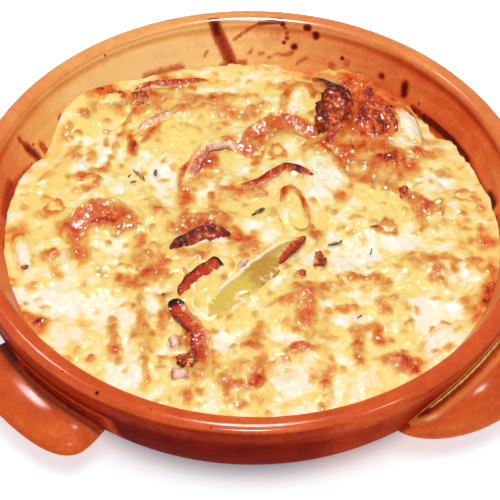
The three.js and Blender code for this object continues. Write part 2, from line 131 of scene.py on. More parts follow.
# Browned places of the crust: x, y, half sizes, heat from 0, pale, to 1, scorched, and any turn
BROWNED = [
    (-80, 95.5, 3.2, 4.2, .9), (-75, 98.5, 3, 1.8, .6), (-70.5, 93, 3.8, 3.5, .75),
    (-60.5, 92, 3.5, 2.2, .8, 25), (-61, 87.5, 3, 3, .5), (-53, 94, 4.5, 3, .6), (-51, 89, 5, 3, .4),
    (-46, 84, 2.5, 2.2, .6), (-46, 94.5, 3, 3, .5), (-57, 102.5, 5, 2, .5, 25), (-51, 104.5, 3, 2, .65),
    (-45, 108, 3, 4, .7), (-38, 105, 5, 2.5, .6), (-34, 107, 5, 3, .7), (-28, 107.5, 6, 2.5, .6),
    (-96, 84.5, 1.6, 1.2, .6), (-89, 66.5, 2, 1.4, .95), (-70, 81.5, 2.4, 2.4, .5), (-80, 80, 3, 3, .25),
    (-88, 79, 3, 3, .3), (-57, 79, 6, 9, .15), (-67, 66, 1.8, 2.2, .8), (-61, 57, 2.5, 3.5, .65),
    (-90, 52.5, 3.5, 3, .5), (-81, 52, 2.2, 3.5, .45), (-97, 44, 3, 3, .35), (-103, 38, 4, 2.5, .4),
    (-76, 41.5, 3.5, 1.8, .6), (-86, 38, 2.5, 3, .5), (-77, 35, 3, 1.5, .5), (-83, 30, 3, 2.5, .6),
    (-38, 88, 3.5, 3, .4), (-33, 90, 4, 3, .55), (-28, 92.5, 4, 2.5, .5), (-21, 90.5, 3, 2, .6),
    (-16, 90, 4, 2.5, .35), (-10, 92, 6, 2.5, .45), (-14, 84.5, 4, 2, .4), (-8, 82, 6, 2.5, .55),
    (-2, 81, 4, 2, .45), (0, 87, 3, 1.8, .6), (4, 88, 4, 2, .5), (3, 95, 2, 4, .4), (10, 104.5, 3, 2, .4),
    (15, 102.5, 2.5, 1.5, .45), (-35, 97, 3.5, 2, .35), (-28, 81, 2, 2.5, .4), (-33, 74.5, 4, 3, .35),
    (-22, 75, 4, 3, .3), (-18, 71.5, 1.5, 1.5, .6), (17, 74, 4.5, 3.5, .9), (13, 70, 4, 2.5, .75),
    (22, 71.5, 3, 2.5, .85), (8, 69, 4, 2, .6), (2, 65, 5, 3, .6), (28, 69, 4, 1.5, .6), (24, 76, 3, 2, .6),
    (-23, 46, 3, 3.5, .9), (-19, 48, 2.5, 3, .75), (-30, 37, 3, 5, .65), (-25, 38, 4, 3, .4),
    (-6, 57, 2, 3, .5), (10, 50.5, 1.8, 1.2, .65), (3, 46, 2, 3, .35), (38, 59, 3, 2.5, .85),
    (33, 67, 2.5, 4, .75), (48, 108, 4, 2, .4), (60, 99, 6, 5, .75), (62, 103, 5, 2, .7),
    (55, 90, 4, 3, .6), (68, 96, 2, 4, .6), (58, 84, 6, 6, .6), (56, 75, 5, 4, .6), (45, 70, 2, 4, .7),
    (47, 58, 3, 4, .8), (50, 62, 2.5, 2, .6), (66, 57, 4.5, 3.5, .8), (75, 48, 6, 4, .65),
    (66, 47, 6, 4, .55), (80, 44, 2, 4, .6), (62, 41, 4, 3, .55), (58, 37, 4, 3, .6),
    (91, 54.5, 3.5, 2.5, .7), (86, 55, 3, 2.5, .5), (95, 57, 3, 3, .35), (84, 47, 3, 3, .35),
    (93, 66, 5, 3, .5), (-104, 22, 2, 3, .5), (-102.5, 20.5, 1.5, 1, .6), (-114, 23, 2.5, 1.2, .5),
    (-102, 9, 4.5, 3, .5), (-95, 3, 2, 3, .35), (-77, 10, 5, 4, .75), (-70, 9, 7, 5, .65),
    (-64, 9.5, 4, 4, .65), (-85, -1, 3.5, 4, .75), (-78, 4, 5, 4, .75), (-83, 5, 4, 4, .7),
    (-90, 0, 2.5, 2.5, 1), (-87, -6, 3, 3, .75), (-60, 7, 3, 5, .45), (-66, 3, 6, 4, .5),
    (-85, -12, 4, 5, .6), (-84, -19, 3.5, 3.5, .75), (-101, -7, 1.8, 2, .5), (-99, -15.5, 4, 2.5, .6),
    (-96, -24, 2, 3, .6), (-93, -30, 2.5, 3, .35), (-106, -36, 2.5, 3, .6), (-115, -36.5, 2, 1, .7),
    (-54, -5, 2.5, 3, .55), (-46, -9, 3, 2, .35), (-55, -19, 3.5, 2.5, .65), (-63.5, -21.5, 1.2, 1, .7),
    (-46, -26, 5, 4.5, .8), (-50, -29, 4, 3, .7), (-57, -35, 5, 3.5, .7), (-61, -31, 3.5, 3, .65),
    (-72, -28, 2.5, 5, .45), (-55, -12, 8, 8, .35), (-43, -22, 3, 3, .75), (-46, 16, 3.5, 3, .6),
    (-51, 15, 2.5, 2.5, .45), (-53, 22, 3, 2.5, .35), (-33, 22, 3, 4, .55), (-33, 14, 3, 3, .4),
    (-33, 19.5, 3, 2, .75), (-35, 28, 2.5, 3, .6), (-38, 2, 3.5, 4, .45), (-18, 18, 3.5, 3.5, .65),
    (-14, 22, 4, 2, .5), (-25, 9, 10, 3.5, .65), (-12, 8, 3, 5, .6), (-33, 1, 4, 3, .7),
    (-34, -13, 4, 3.5, .65), (-25, -15, 4, 3.5, .6), (-1, -3, 3, 3, .8), (-2, -8, 5, 4, .6),
    (-4, -15, 4, 3.5, .55), (3, -6, 2, 3, .4), (32, -2, 3, 3.5, .7), (-3, 25, 3.5, 1.8, .35),
    (24, -37, 4.5, 3.5, .65), (35, -36, 3.5, 3.5, .6), (30, -34, 6, 2.5, .3), (17, -45, 3.5, 3, .5),
    (44, 23, 3, 3, .6), (65.5, 21, 1.2, 1.2, .75), (52, 12, 2, 2, .5), (67, 7, 2.5, 3, .5),
    (60, 34, 2.5, 3, .4), (70, 32, 4, 3, .5), (87, 22, 3.5, 2, .75), (87, 18, 5, 3.5, .6),
    (83, 13, 3, 3, .5), (84, 5, 1.5, 2.5, .6), (88, 8, 2.5, 2, .65), (94, 15, 1.5, 4, .5, 30),
    (92, 8, 1.5, 5, .35), (93, -3, 3, 1.5, .3), (99, 29, 3, 3, .4), (103, 6, 2, 4, .4),
    (104, -6, 2.5, 4, .4), (114, 18, 4, 3, .6), (118, -5, 4, 4, .85), (113, 2, 3, 4, .6),
    (109, -16, 3, 4, .75), (118, -25, 2.5, 8, .9), (115, -38, 3, 6, .9, -15), (77, -12, 2.5, 2, .65),
    (74, -16, 3, 2.5, .45), (70, -20, 3, 1.5, .35), (86, -17, 3.5, 2.5, .75), (94, -16, 4, 2.5, .8),
    (98, -22, 2, 4, .5), (91, -25, 2.5, 2.5, .65), (91, -30, 2, 2, .6), (95, -33, 3, 3, .4),
    (82, -22, 4, 3, .4), (56, -29, 4, 2.5, .5), (62, -28, 5, 2.5, .5), (50, -28, 4, 2.5, .35),
    (65, -34, 3.5, 2.5, .55), (43, -31, 2.5, 3, .5), (40, -39, 3, 3.5, .4), (47, -37, 2.5, 2.5, .25),
    (-103, -58, 5, 4, .8), (-108, -56, 3, 2, .6), (-101, -64, 2.5, 4, .7), (-94, -57, 3, 1.5, .25),
    (-79, -58, 2.5, 4, .45), (-82, -76.5, 2, 2, .4), (-77, -82, 3.5, 2.5, .35), (-65.5, -65, 2.2, 4, .65),
    (-65, -75, 2.6, 4.5, .65), (-63, -82, 3, 3, .5), (-53, -45, 2, 6, .4), (-53, -60, 1.8, 8, .42),
    (-51, -72, 2, 8, .45), (-49, -84, 1.5, 7, .4), (-49, -95, 1.8, 5, .45), (-46, -72, 2.5, 6, .25),
    (-57, -49.5, 1.2, 1.4, .95), (-24, -72, 3.5, 6, .7), (-22, -84, 2.5, 4, .8), (-26, -92, 4, 4, .4),
    (-28, -103, 2, 4, .5), (-37, -103, 2, 3, .4), (3, -65, 3, 5, .55), (2, -72, 3, 4, .5),
    (5, -82, 3.5, 3.5, .7), (4, -91, 3.5, 3.5, .95), (2, -96, 4, 2, .85), (-7, -96, 5, 3, .7),
    (-12, -94, 4, 3, .55), (-6, -86, 5, 4, .5), (-15, -84, 4, 3, .4), (-9, -77, 3, 2, .3),
    (-2, -68, 3, 4, .3), (15, -47, 4, 3, .6), (29, -44, 3.5, 4.5, .7), (24, -50, 3, 3, .6),
    (29, -52, 3.5, 4, .7), (17, -58, 5, 2, .5), (26, -57, 4.5, 3.5, .55), (30, -65, 3.5, 3.5, .6),
    (21, -62, 4, 2, .3), (37, -62, 2, 3, .6), (40, -66, 2, 2, .5), (18, -76, 4, 2, .5),
    (25, -75, 5, 2.5, .6), (32, -75, 4, 2, .5), (38, -79, 1.5, 2.5, .6), (36, -92, 2, 5, .8),
    (39, -86, 1.5, 3, .5), (34, -101, 2.5, 2.5, .3), (17, -88, 4, 4, .35), (49, -47.5, 1.5, 1.3, .75),
    (44, -50, 2, 2, .35), (64, -47, 3, 3.5, .65), (72, -44, 5, 2.5, .4), (75, -58, 2, 4, .35),
    (52, -72, 2, 5, .75), (52, -81, 2, 3, .65), (50, -63, 2.5, 2, .55), (60, -62, 2.5, 5, .65),
    (63, -69, 3, 3, .7), (72, -83, 4.5, 4.5, .85), (65, -81, 4, 3, .7), (78, -85, 3, 3, .8),
    (72, -79, 2.5, 2, .8), (113, -47, 2.5, 5, .9, -25), (108, -56, 3.5, 2.5, .9, 30),
    (105, -42, 2.5, 5, .7), (107, -50, 3, 4, .7), (22, 104, 5, 4, .5), (34, 100, 5, 4, .5),
    (45, 101, 5, 5, .65), (52, 100, 4, 4, .7), (17, 93, 2.5, 6, .55), (67, 91, 4.5, 5, .7),
    (66, 82, 5, 5, .85), (67, 73, 4.5, 6, .85), (60, 70, 5, 5, .8), (52, 70, 4, 4, .75), (55, 80, 4, 5, .7),
    (49, 88, 3, 4, .7), (73, 86, 4, 4, .5), (31, 59, 4, 3.5, .65), (37, 58, 3.5, 4.5, .85),
    (44, 61, 3.5, 4, .6), (52, 58, 4, 3, .65), (60, 59, 4, 4, .65), (68, 60, 4, 4, .5), (44, 48, 3, 4, .4),
    (50, 48, 4, 4, .5), (67, 49, 4, 3, .5), (51, 38, 4, 3, .4), (75, 39, 4, 3, .45), (-12, 60, 3.5, 3, .8),
    (-4, 58, 3.5, 3, .45), (4, 60, 3.5, 2.5, .45), (-11, 29, 5, 3, .65), (-3, 28.5, 4, 2.6, .55),
    (5, 27.5, 4.5, 2.6, .6), (81, 26, 4, 4, .5), (-8, -3, 4, 4, .7), (-19, 2, 7, 2.5, .7),
    (-28, 0, 5, 2.5, .7, 30), (37, -53, 2.5, 4, .6), (53, -60, 3, 3.5, .55), (60, -60, 3, 3, .4),
    (33, -88, 3.5, 4, .5), (-41, -43, 4, 3, .45), (-42, -52, 3, 5, .4), (-41, -62, 3, 5, .35),
    (-38, -80, 3, 5, .35), (-28, -69, 4, 5, .6), (-88, -83, 4, 3, .35), (-76, -93, 5, 4, .3),
    (-66, -100, 5, 3, .35), (-30, -103, 4, 4, .3), (-8, -105, 6, 4, .35), (5, -104, 5, 4, .35),
    (-117, -4, 3, 6, .7), (-112, 0, 3, 5, .35), (-82, 92, 5, 4, .5), (38, 112, 6, 3, .6, -20),
    (50, 108, 6, 4, .7, -25), (62, 101, 6, 4, .7, -35), (73, 93, 5, 4, .6, -45), (82, 84, 4, 4, .4, -50),
    (20, 116, 5, 2, .5, -10), (8, 118, 4, 2, .4), (28, 114, 3, 2, .6), (-74, 90, 4, 4, .5),
    (64, 88, 6, 5, .8), (56, 93, 4, 3, .7), (48, 53, 4, 5, .75), (70, 51, 6, 5, .75), (-97, 66, 4, 4, .45),
    (-101, 58, 4, 4, .35), (-50, 68, 3, 4, .45),
]

# Thin browned lines, where a slice's edge shows through: points of each, and its heat
BROWNED_LINES = [
    ([(-60, 83), (-66, 75), (-67, 66), (-70, 58), (-72, 48), (-76, 41)], .6),
    ([(-64, 70), (-61, 60), (-59, 53)], .6),
    ([(-63, 55), (-62, 64), (-52, 75), (-39, 83), (-26, 86), (-13, 86)], .55),
    ([(-38, 30), (-37, 38), (-33, 46), (-27, 53)], .6),
    ([(-75, 63), (-68, 74), (-60, 83), (-50, 89)], .35),
    ([(-48, 74), (-52, 67), (-57, 60)], .75),
    ([(90, 45), (100, 41), (108, 41)], .5),
    ([(13, 12), (14, 6), (17, 0)], .5),
]

# Rings left by burst bubbles: x, y, radius, heat
BROWNED_RINGS = [(-82, 33, 5, .5), (-98, 15, 4.5, .5), (13, 57, 3.6, .6), (2, 55, 3, .5), (68, 4, 4.5, .5),
                 (107, 27, 4, .4), (-118, -34, 3, .5), (44, -49, 2.5, .4), (-98, -17, 3, .4)]

# Pools of pale cream, and places where the butter shows yellow: x, y, half sizes, and any turn
CREAM = [
    (-85, -45, 18, 10), (-105, -45, 8, 8), (-66, -8, 8, 9), (-74, 60, 4, 11, -10), (-84, 45, 5, 8),
    (-45, 42, 8, 11), (52, -15, 12, 10), (-19, -5, 11, 3, 5), (-18, 32, 6, 8), (37, 31, 8, 8),
    (-92, -18, 4, 8), (-60, -93, 9, 6, 30), (-38, -76, 3, 8), (82, -50, 8, 14), (97, -47, 7, 6),
    (92, -67, 8, 7, 40), (50, -55, 8, 4), (-11, -69, 8, 9), (20, -90, 13, 8), (100, -25, 6, 9),
    (72, -5, 10, 4), (-8, 105, 8, 4), (-22, 99, 15, 3), (80, 70, 6, 13, 10), (95, 36, 10, 4),
    (57, 59, 3, 5), (55, -63, 5, 3), (-88, 61, 6, 4), (17, 83, 5, 5), (-60, -55, 7, 6, 30),
    (-47, -50, 3, 10), (36, -50, 3, 7), (20, -68, 7, 3), (8, 92, 5, 4), (0, 5, 5, 3),
]
BUTTER = [
    (-34, 67, 15, 9, 10), (-48, 68, 8, 8), (-106, 8, 7, 17), (-42, 60, 12, 6), (-2, 20, 10, 9),
    (62, 27, 10, 7), (-15, 102, 12, 5), (2, 96, 8, 7), (-85, 73, 9, 8), (75, -60, 4, 9), (-100, 33, 9, 5),
    (-5, -56, 9, 4), (-75, -38, 10, 4), (-100, -34, 7, 3), (64, 14, 6, 5), (33, 88, 5, 10), (75, 18, 6, 6),
    (-42, 5, 4, 8), (80, -36, 9, 5), (105, 45, 3, 10),
]

# Marks baked onto the wall inside: angle and height of both ends, half width, strength
WALL_MARKS = [
    (99.3, 61.5, 98.5, 54.3, 2.2, .95), (98.5, 54.3, 95.4, 39, 2.6, .78), (102, 44.5, 101.3, 46, .8, .5),
    (94.5, 51, 88.7, 59.3, .8, .5), (88.7, 59.3, 84, 60.8, 1.1, .75), (91.4, 43.6, 90.4, 45.4, .8, .42),
    (88.8, 43.4, 87.6, 43.8, .9, .4), (86.5, 42.5, 83, 44.5, .7, .4), (82.4, 44, 80.6, 45.4, 1, .5),
    (79.2, 41, 77, 44, .9, .4), (51.1, 47.5, 50.6, 43.5, 2, 1), (157, 53, 156.2, 46, .9, .75),
    (156.2, 46, 155, 38, 1.9, .85), (152, 40.5, 151.6, 36, 1.6, .6), (143.1, 42.8, 143.4, 40.4, 1.7, .9),
]
# Round spots on the wall inside: angle, height, radius and strength
WALL_SPOTS = [
    (83.4, 59.6, 1.7, 1), (82.8, 57.4, 1.4, .6), (82.3, 55, 1.6, .62), (82.2, 52.5, 1.6, .7),
    (82.8, 50, 1.2, .9), (80.3, 48.6, 2, 1.05), (88.5, 55, 5, .2), (85, 54, 5.5, .25), (81, 55.5, 5, .2),
    (86.5, 50, 5.5, .17), (80, 51, 4, .2), (77.6, 59.3, 2.3, 1.2), (75.4, 56, 2.3, 1.2),
    (68.3, 47.8, 1.4, .95), (57.6, 46.3, 2.1, .9), (126.2, 58.7, .8, .7), (154, 44.1, .9, .7),
    (70.5, 43, 2.4, .45), (67, 46, 2.6, .35), (63.5, 43, 1.4, .6), (45.8, 43, 1.1, .7),
]
# Splashes scorched along the shore: angle at both ends, height at both ends, half width, strength
SHORE_MARKS = [
    (47, 39.4, 43, 38.9, 1.5, .9), (43, 38.9, 37, 39.2, 2, 1), (37, 39.2, 31, 39.8, 2, 1),
    (31, 39.8, 25.5, 39.2, 1.8, .95), (25.5, 39.2, 20, 37.6, 1.6, .9), (20, 37.6, 14, 38.4, 1.6, .9),
    (12.5, 40, 9.5, 41, 2.6, 1), (5, 40, -8, 40, 2.2, .8), (-8, 39.5, -26, 39.5, 2.6, .85),
    (176, 41, 168, 43, 3, .75), (168, 42, 158, 38, 1.6, .5), (186, 41, 181.5, 38, .8, .8),
    (98, 39, 92, 39.5, 1.2, .5), (118, 41, 108, 41, 1.2, .5),
]

# Dark specks in the glaze of the lip: angle, height and radius of the speck
LIP_SPECKS = [(-120.1, 61.4, 1.2), (-135.2, 58.4, .7), (-128.6, 61.6, .6), (-109, 61.9, .5), (-97, 61, .5)]

# Strips in the crust: points in plan, width, thickness, lean about its length, lift
STRIPS = {
    "bacon_long_upper": ([(-14, -22.5), (-20.5, -28), (-26.5, -33), (-31.5, -38.5), (-34, -44)],
                         9.4, 1.9, -40, 1.9),
    "bacon_long_lower": ([(-37, -46.5), (-33.5, -53.5), (-28.5, -61.5), (-24.5, -68.5), (-23, -76),
                          (-22.3, -87)], 9.2, 2, -10, 1.9),
    "bacon_thin": ([(-7, 30.5), (2, 32), (10, 37), (17, 41.8), (22, 42.4), (31, 38.5)], 4.4, 2.6, 40, 1.4),
    "onion_dark_crescent": ([(-40, -13.5), (-34, -9.5), (-26.5, -5.5), (-19, -3), (-10, -2)],
                            8.6, 3.2, 38, 1.4),
    "onion_arc": ([(-32, 31), (-30.5, 40), (-26.5, 49), (-19, 56), (-12, 59), (-7.5, 55)], 7, 3, 20, .8),
    "onion_bacon_fold": ([(-6, 61), (2, 65.8), (10, 69.5), (18, 72), (25, 69.5), (34, 63.5)], 8.6, 3, 24, 1),
    "pepper_strip": ([(-22, -58), (-13.5, -46), (-2, -34), (9.5, -21), (24, -5.5)], 14.5, 3.6, 6, 1.2),
    "pepper_skin": ([(13.5, -22.5), (17, -17.5), (21, -11.5), (26.5, -4.5)], 6, 2.6, -20, 3.4),
    "char_ribbon": ([(28, 107.5), (36, 104), (43, 99.5), (48.5, 95), (51, 89.5)], 3.2, 2.6, 30, 1.8),
    "bacon_fold_outer": ([(53.5, 85.5), (62, 84.5), (68.5, 80), (72.5, 73), (73.5, 65)], 4.4, 3, 25, 1.4),
    "bacon_fold_inner": ([(57.5, 79), (62, 76.5), (65, 71.5), (65.5, 64.5)], 4.2, 2.8, 25, 1.4),
    "onion_strip_back": ([(-59, 67.5), (-54, 72.5), (-47, 78), (-39, 83.5)], 5, 2.4, 15, .7),
    "bacon_strip_back": ([(-63, 94), (-56, 100), (-47, 102.2), (-36, 103.8), (-22, 107)], 4.4, 2.6, 30, 1.2),
    "bacon_left": ([(-88, -3), (-84, 4), (-77, 9), (-68, 10.5), (-60, 8.5)], 11, 3.6, 12, .6),
}
# How each strip is finished: finish, record slot, scorched stretches (place, spread, strength),
# which edge is dark and how dark, how deep it ruffles, how far the cheese veils it, and how deep its
# two ends dive under the cheese
STRIP_LOOKS = {
    "bacon_long_upper": ("bacon", "bacon", [(0, .07, 1)], (-1, .7), .5, .3, (0, 1)),
    "bacon_long_lower": ("bacon", "bacon", [(0, .09, 1.4), (.97, .06, .3)], (-1, .45), .9, .12, (0, 2.4)),
    "bacon_thin": ("bacon", "bacon", [(.5, .5, .2), (.8, .1, .5), (1, .05, .6)], (1, .3), .7, .2, (1.6, .4)),
    "onion_dark_crescent": ("char", "char", [(.35, .5, .45), (.97, .07, .6)], (1, .3), .5, .15, (.9, .4)),
    "onion_arc": ("onion", "onion", [(.35, .35, .5)], (-1, .3), .7, .5, (2, .3)),
    "onion_bacon_fold": ("crust", "bacon", [(.55, .5, .22), (.84, .14, .2)], (1, .15), .8, 0, (1.6, 1.6)),
    "pepper_strip": ("pepper", "pepper", [], (1, 0), 0, .26, (1.6, 1)),
    "pepper_skin": ("bacon", "bacon", [(.1, .2, .2)], (-1, .1), .5, .3, (1, .5)),
    "char_ribbon": ("char", "char", [(.6, .4, 1)], (1, .8), .4, .3, (1.6, 1)),
    "bacon_fold_outer": ("bacon", "bacon", [(.6, .2, .4)], (1, .3), .5, .45, (1.4, 1.4)),
    "bacon_fold_inner": ("bacon", "bacon", [(.5, .3, .5)], (1, .3), .5, .45, (1.4, 1.4)),
    "onion_strip_back": ("onion", "onion", [(.5, .4, .3)], (1, .2), .4, .6, (1, 1.4)),
    "bacon_strip_back": ("bacon", "bacon", [(.3, .1, .2)], (1, .1), .4, .4, (1.6, 1.6)),
    "bacon_left": ("crust", "bacon", [(0, .08, .5), (.5, .4, .05)], (1, 0), .8, 0, (.4, 2.4)),
}
STRIP_SIDES = 32
STRIP_ROWS = 96
TAPER, SQUARE_END = 3, 9
DIVE_SHARE = 0.22
# How far the cheese laps up around a strip, its reach past the edge and its share of the lift, and
# around a chunk: how far out it starts, over how much it climbs, and its share of the half height
LAP_REACH = 2.5
LAP_SHARE = 0.45
CHUNK_LAP = (1.4, 0.5, 0.5)

# Chunks and slices: x, y, half sizes, turn, lean, lift, squareness, then finish, slot, how the rim is
# browned (strength and the direction it faces), and how pale it is against the crust
CHUNKS = {
    "bacon_charred_chunk": (42, 79, (8, 15.5, 4.6), -10, 6, .4, 2.2, "char", "char", (.5, 140), 0),
    "potato_chunk_right": (79, 73, (6.5, 15, 4.2), 14, 10, -.5, 2.1, "crust", "potato", (.3, 200), .6),
    "potato_chunk_middle": (38, 43, (7, 18, 4), 30, 6, -.6, 2.1, "crust", "potato", (.2, 20), .3),
    "potato_slice_centre": (21.5, 15.5, (6.4, 15.5, 2), 16, -9, -.5, 2.1, "crust", "potato", (.85, 50), -.2),
    "potato_slice_front": (-21.5, -40, (7, 13.5, 2.4), -8, -8, .2, 2.1, "crust", "potato", (.25, 170), -.35),
    "potato_slice_back": (24.5, 92, (11, 8.6, 2.6), 84, -8, .1, 2.1, "crust", "potato", (1, 95), 0),
    "potato_edge_left": (-112, -16, (4.2, 11, 3), 15, 0, -.5, 2.1, "crust", "potato", (.2, 180), .4),
    "onion_layers_right": (87.5, -69, (5, 13, 2.2), -34, 12, .1, 2.4, "crust", "onion", (.3, 150), .8),
    "onion_cube_dark": (-30, -83.5, (3.6, 3.2, 3), 15, 8, 1.5, 4, "char", "char", (0, 0), 0),
    "onion_cube_pale": (-32.5, -91.5, (4.2, 2.9, 2.4), 5, 0, .2, 3.2, "onion", "onion", (0, 0), 0),
    "onion_bit_front": (-36, -71.5, (2.6, 3.2, 2.2), 20, 0, .2, 3, "onion", "onion", (0, 0), 0),
    "onion_bit_middle": (33.5, -20, (2.6, 4, 2.2), -10, 8, .5, 3.2, "char", "char", (0, 0), 0),
    "onion_bit_centre": (-4, -24, (2, 3.6, 2), -35, 0, 1.4, 3, "onion", "onion", (0, 0), 0),
    "onion_bit_right": (77, 27, (2.4, 4.2, 2.2), 8, 0, .4, 3, "char", "char", (0, 0), 0),
    "bacon_bit_centre": (24, -29.5, (2.4, 2.1, 2), 0, 0, .4, 2.6, "bacon", "bacon", (0, 0), 0),
    "bacon_lump_back": (-72, 88, (7.5, 4, 3.2), 20, 0, .2, 2.6, "crust", "bacon", (.8, 90), 0),
    "bacon_bit_back": (-60, 91, (4.2, 2.8, 2.6), 30, 0, .6, 3, "char", "char", (0, 0), 0),
}
CHUNK_SIDES = 56
CHUNK_ROWS = 40

# Herb flecks: x, y, half length, half width, turn
HERBS = [
    (4, 13.5, 3.2, 1, 35), (1, 11, 1.2, .6, 20), (41, -6.5, 3.2, .7, 15), (44, -5, 1.3, .6, 60),
    (-49, 40.5, 1, 2.2, 0), (-59, 40, .35, 2.6, 30), (-57, 38.5, .3, 3.2, 28), (-55, 37, .3, 2.4, 20),
    (-60, 33, 1.6, .4, 20), (-62, 37, 1.3, .3, 60), (52.5, -54, 1.8, .4, 35), (59, -10, .4, 2.4, -10),
    (61, 4, 2.4, .4, 10), (-42, -43, 1, .7, 0), (-110, -26, 2, 1.4, 30),
]

# The camera, fitted to the rim of the dish in the photograph
CAMERA_DISTANCE = 8 * RIM_RADIUS
CAMERA_ELEVATION = math.radians(47.11)
CAMERA_DIP = math.radians(1.204)
CAMERA_PAN = math.radians(-0.028)
CAMERA_ROLL = math.radians(0.76)
FIELD_OF_VIEW = math.radians(12.412)

# Lamps, in metres and watts: name, place, aim, size, power, and whether they light colour or gloss
LAMPS = [
    ("soft", (0.0, -0.42, 1.1), (0, 0, 0.03), 0.42, 5.5, "colour"),
    ("key", (-0.1, 0.16, 1.15), (0, 0, 0.03), 0.2, 3.4, "colour"),
    ("gloss", (0.0, 0.02, 1.15), (0, 0, 0.03), 0.24, 56, "gloss"),
    ("left_lug_light", (-0.49, 0.37, 1.1), (-0.1, -0.1, 0.03), 0.14, 5, "gloss"),
    ("right_lug_light", (0.79, -0.59, 1.1), (0.1, -0.1, 0.03), 0.14, 5, "gloss"),
    ("lip_light", (0.0, -1.24, 1.1), (0, -0.14, 0.06), 0.32, 34, "gloss"),
]
SKY_STRENGTH = 0.42
FLOOR_HALF_SIZE = 3
FLOOR_GLOW = 0.57

COAT_IOR = 1.25


def add_camera():
    back = Vector((0, -math.cos(CAMERA_ELEVATION), math.sin(CAMERA_ELEVATION)))
    eye = Vector((0, 0, DISH_HEIGHT * MM)) + back * CAMERA_DISTANCE * MM
    right = Vector((1, 0, 0))
    up = back.cross(right)
    dip = Matrix.Rotation(-CAMERA_DIP, 3, right)
    up, back = dip @ up, dip @ back
    pan = Matrix.Rotation(-CAMERA_PAN, 3, up)
    right, back = pan @ right, pan @ back
    roll = Matrix.Rotation(CAMERA_ROLL, 3, back)
    right, up = roll @ right, roll @ up
    data = bpy.data.cameras.new("camera")
    data.angle = FIELD_OF_VIEW
    data.clip_start = 0.01
    camera = bpy.data.objects.new("camera", data)
    camera.matrix_world = Matrix.Translation(eye) @ Matrix((right, up, back)).transposed().to_4x4()
    bpy.context.collection.objects.link(camera)
    bpy.context.scene.camera = camera


def add_light(name, place, aim, size, power, lights):
    """A round lamp, which lights either the colour of things or their gloss."""
    data = bpy.data.lights.new(name, "AREA")
    data.shape = "DISK"
    data.size = size
    data.energy = power
    light = bpy.data.objects.new(name, data)
    light.location = place
    light.rotation_euler = (Vector(aim) - Vector(place)).to_track_quat("-Z", "Y").to_euler()
    light.visible_glossy = lights == "gloss"
    light.visible_diffuse = lights == "colour"
    bpy.context.collection.objects.link(light)


def add_studio():
    world = bpy.data.worlds.new("studio")
    world.use_nodes = True
    sky = world.node_tree.nodes["Background"]
    sky.inputs["Color"].default_value = (1, 1, 1, 1)
    sky.inputs["Strength"].default_value = SKY_STRENGTH
    bpy.context.scene.world = world
    for lamp in LAMPS:
        add_light(*lamp)


def add_floor():
    bm = bmesh.new()
    bmesh.ops.create_grid(bm, x_segments=1, y_segments=1, size=FLOOR_HALF_SIZE)
    mesh = take_mesh(bm, "floor")
    floor = bpy.data.objects.new("floor", mesh)
    bpy.context.collection.objects.link(floor)
    finish = Finish("floor")
    finish.feed("Base Color", (0.6, 0.8, 0.9, 1))
    finish.feed("Roughness", 0.9)
    # The floor glows less near the dish: a painted contact shadow
    beyond_dish = finish.step(finish.distance_to((0, 0, 0)), *PAINTED_FLOOR_SHADOW)
    finish.feed("Emission Color", finish.mix(beyond_dish, (0.02, 0.1, 0.17, 1), (1, 1, 1, 1)))
    finish.feed("Emission Strength", FLOOR_GLOW)
    mesh.materials.append(finish.material)


class Term:
    """A number in a material, that Python's operators work on."""

    def __init__(self, finish, socket):
        self.finish = finish
        self.socket = socket

    def __add__(self, other):
        return self.finish.math("ADD", self, other)

    def __sub__(self, other):
        return self.finish.math("SUBTRACT", self, other)

    def __rsub__(self, other):
        return self.finish.math("SUBTRACT", other, self)

    def __mul__(self, other):
        return self.finish.math("MULTIPLY", self, other)

    def __abs__(self):
        return self.finish.math("ABSOLUTE", self)

    __radd__ = __add__
    __rmul__ = __mul__


def linear(red, green, blue):
    """A colour given as it looks on screen, in the linear values that a material takes."""
    def channel(value):
        value /= 255
        return value / 12.92 if value <= 0.04045 else ((value + 0.055) / 1.055) ** 2.4
    return (channel(red), channel(green), channel(blue), 1)


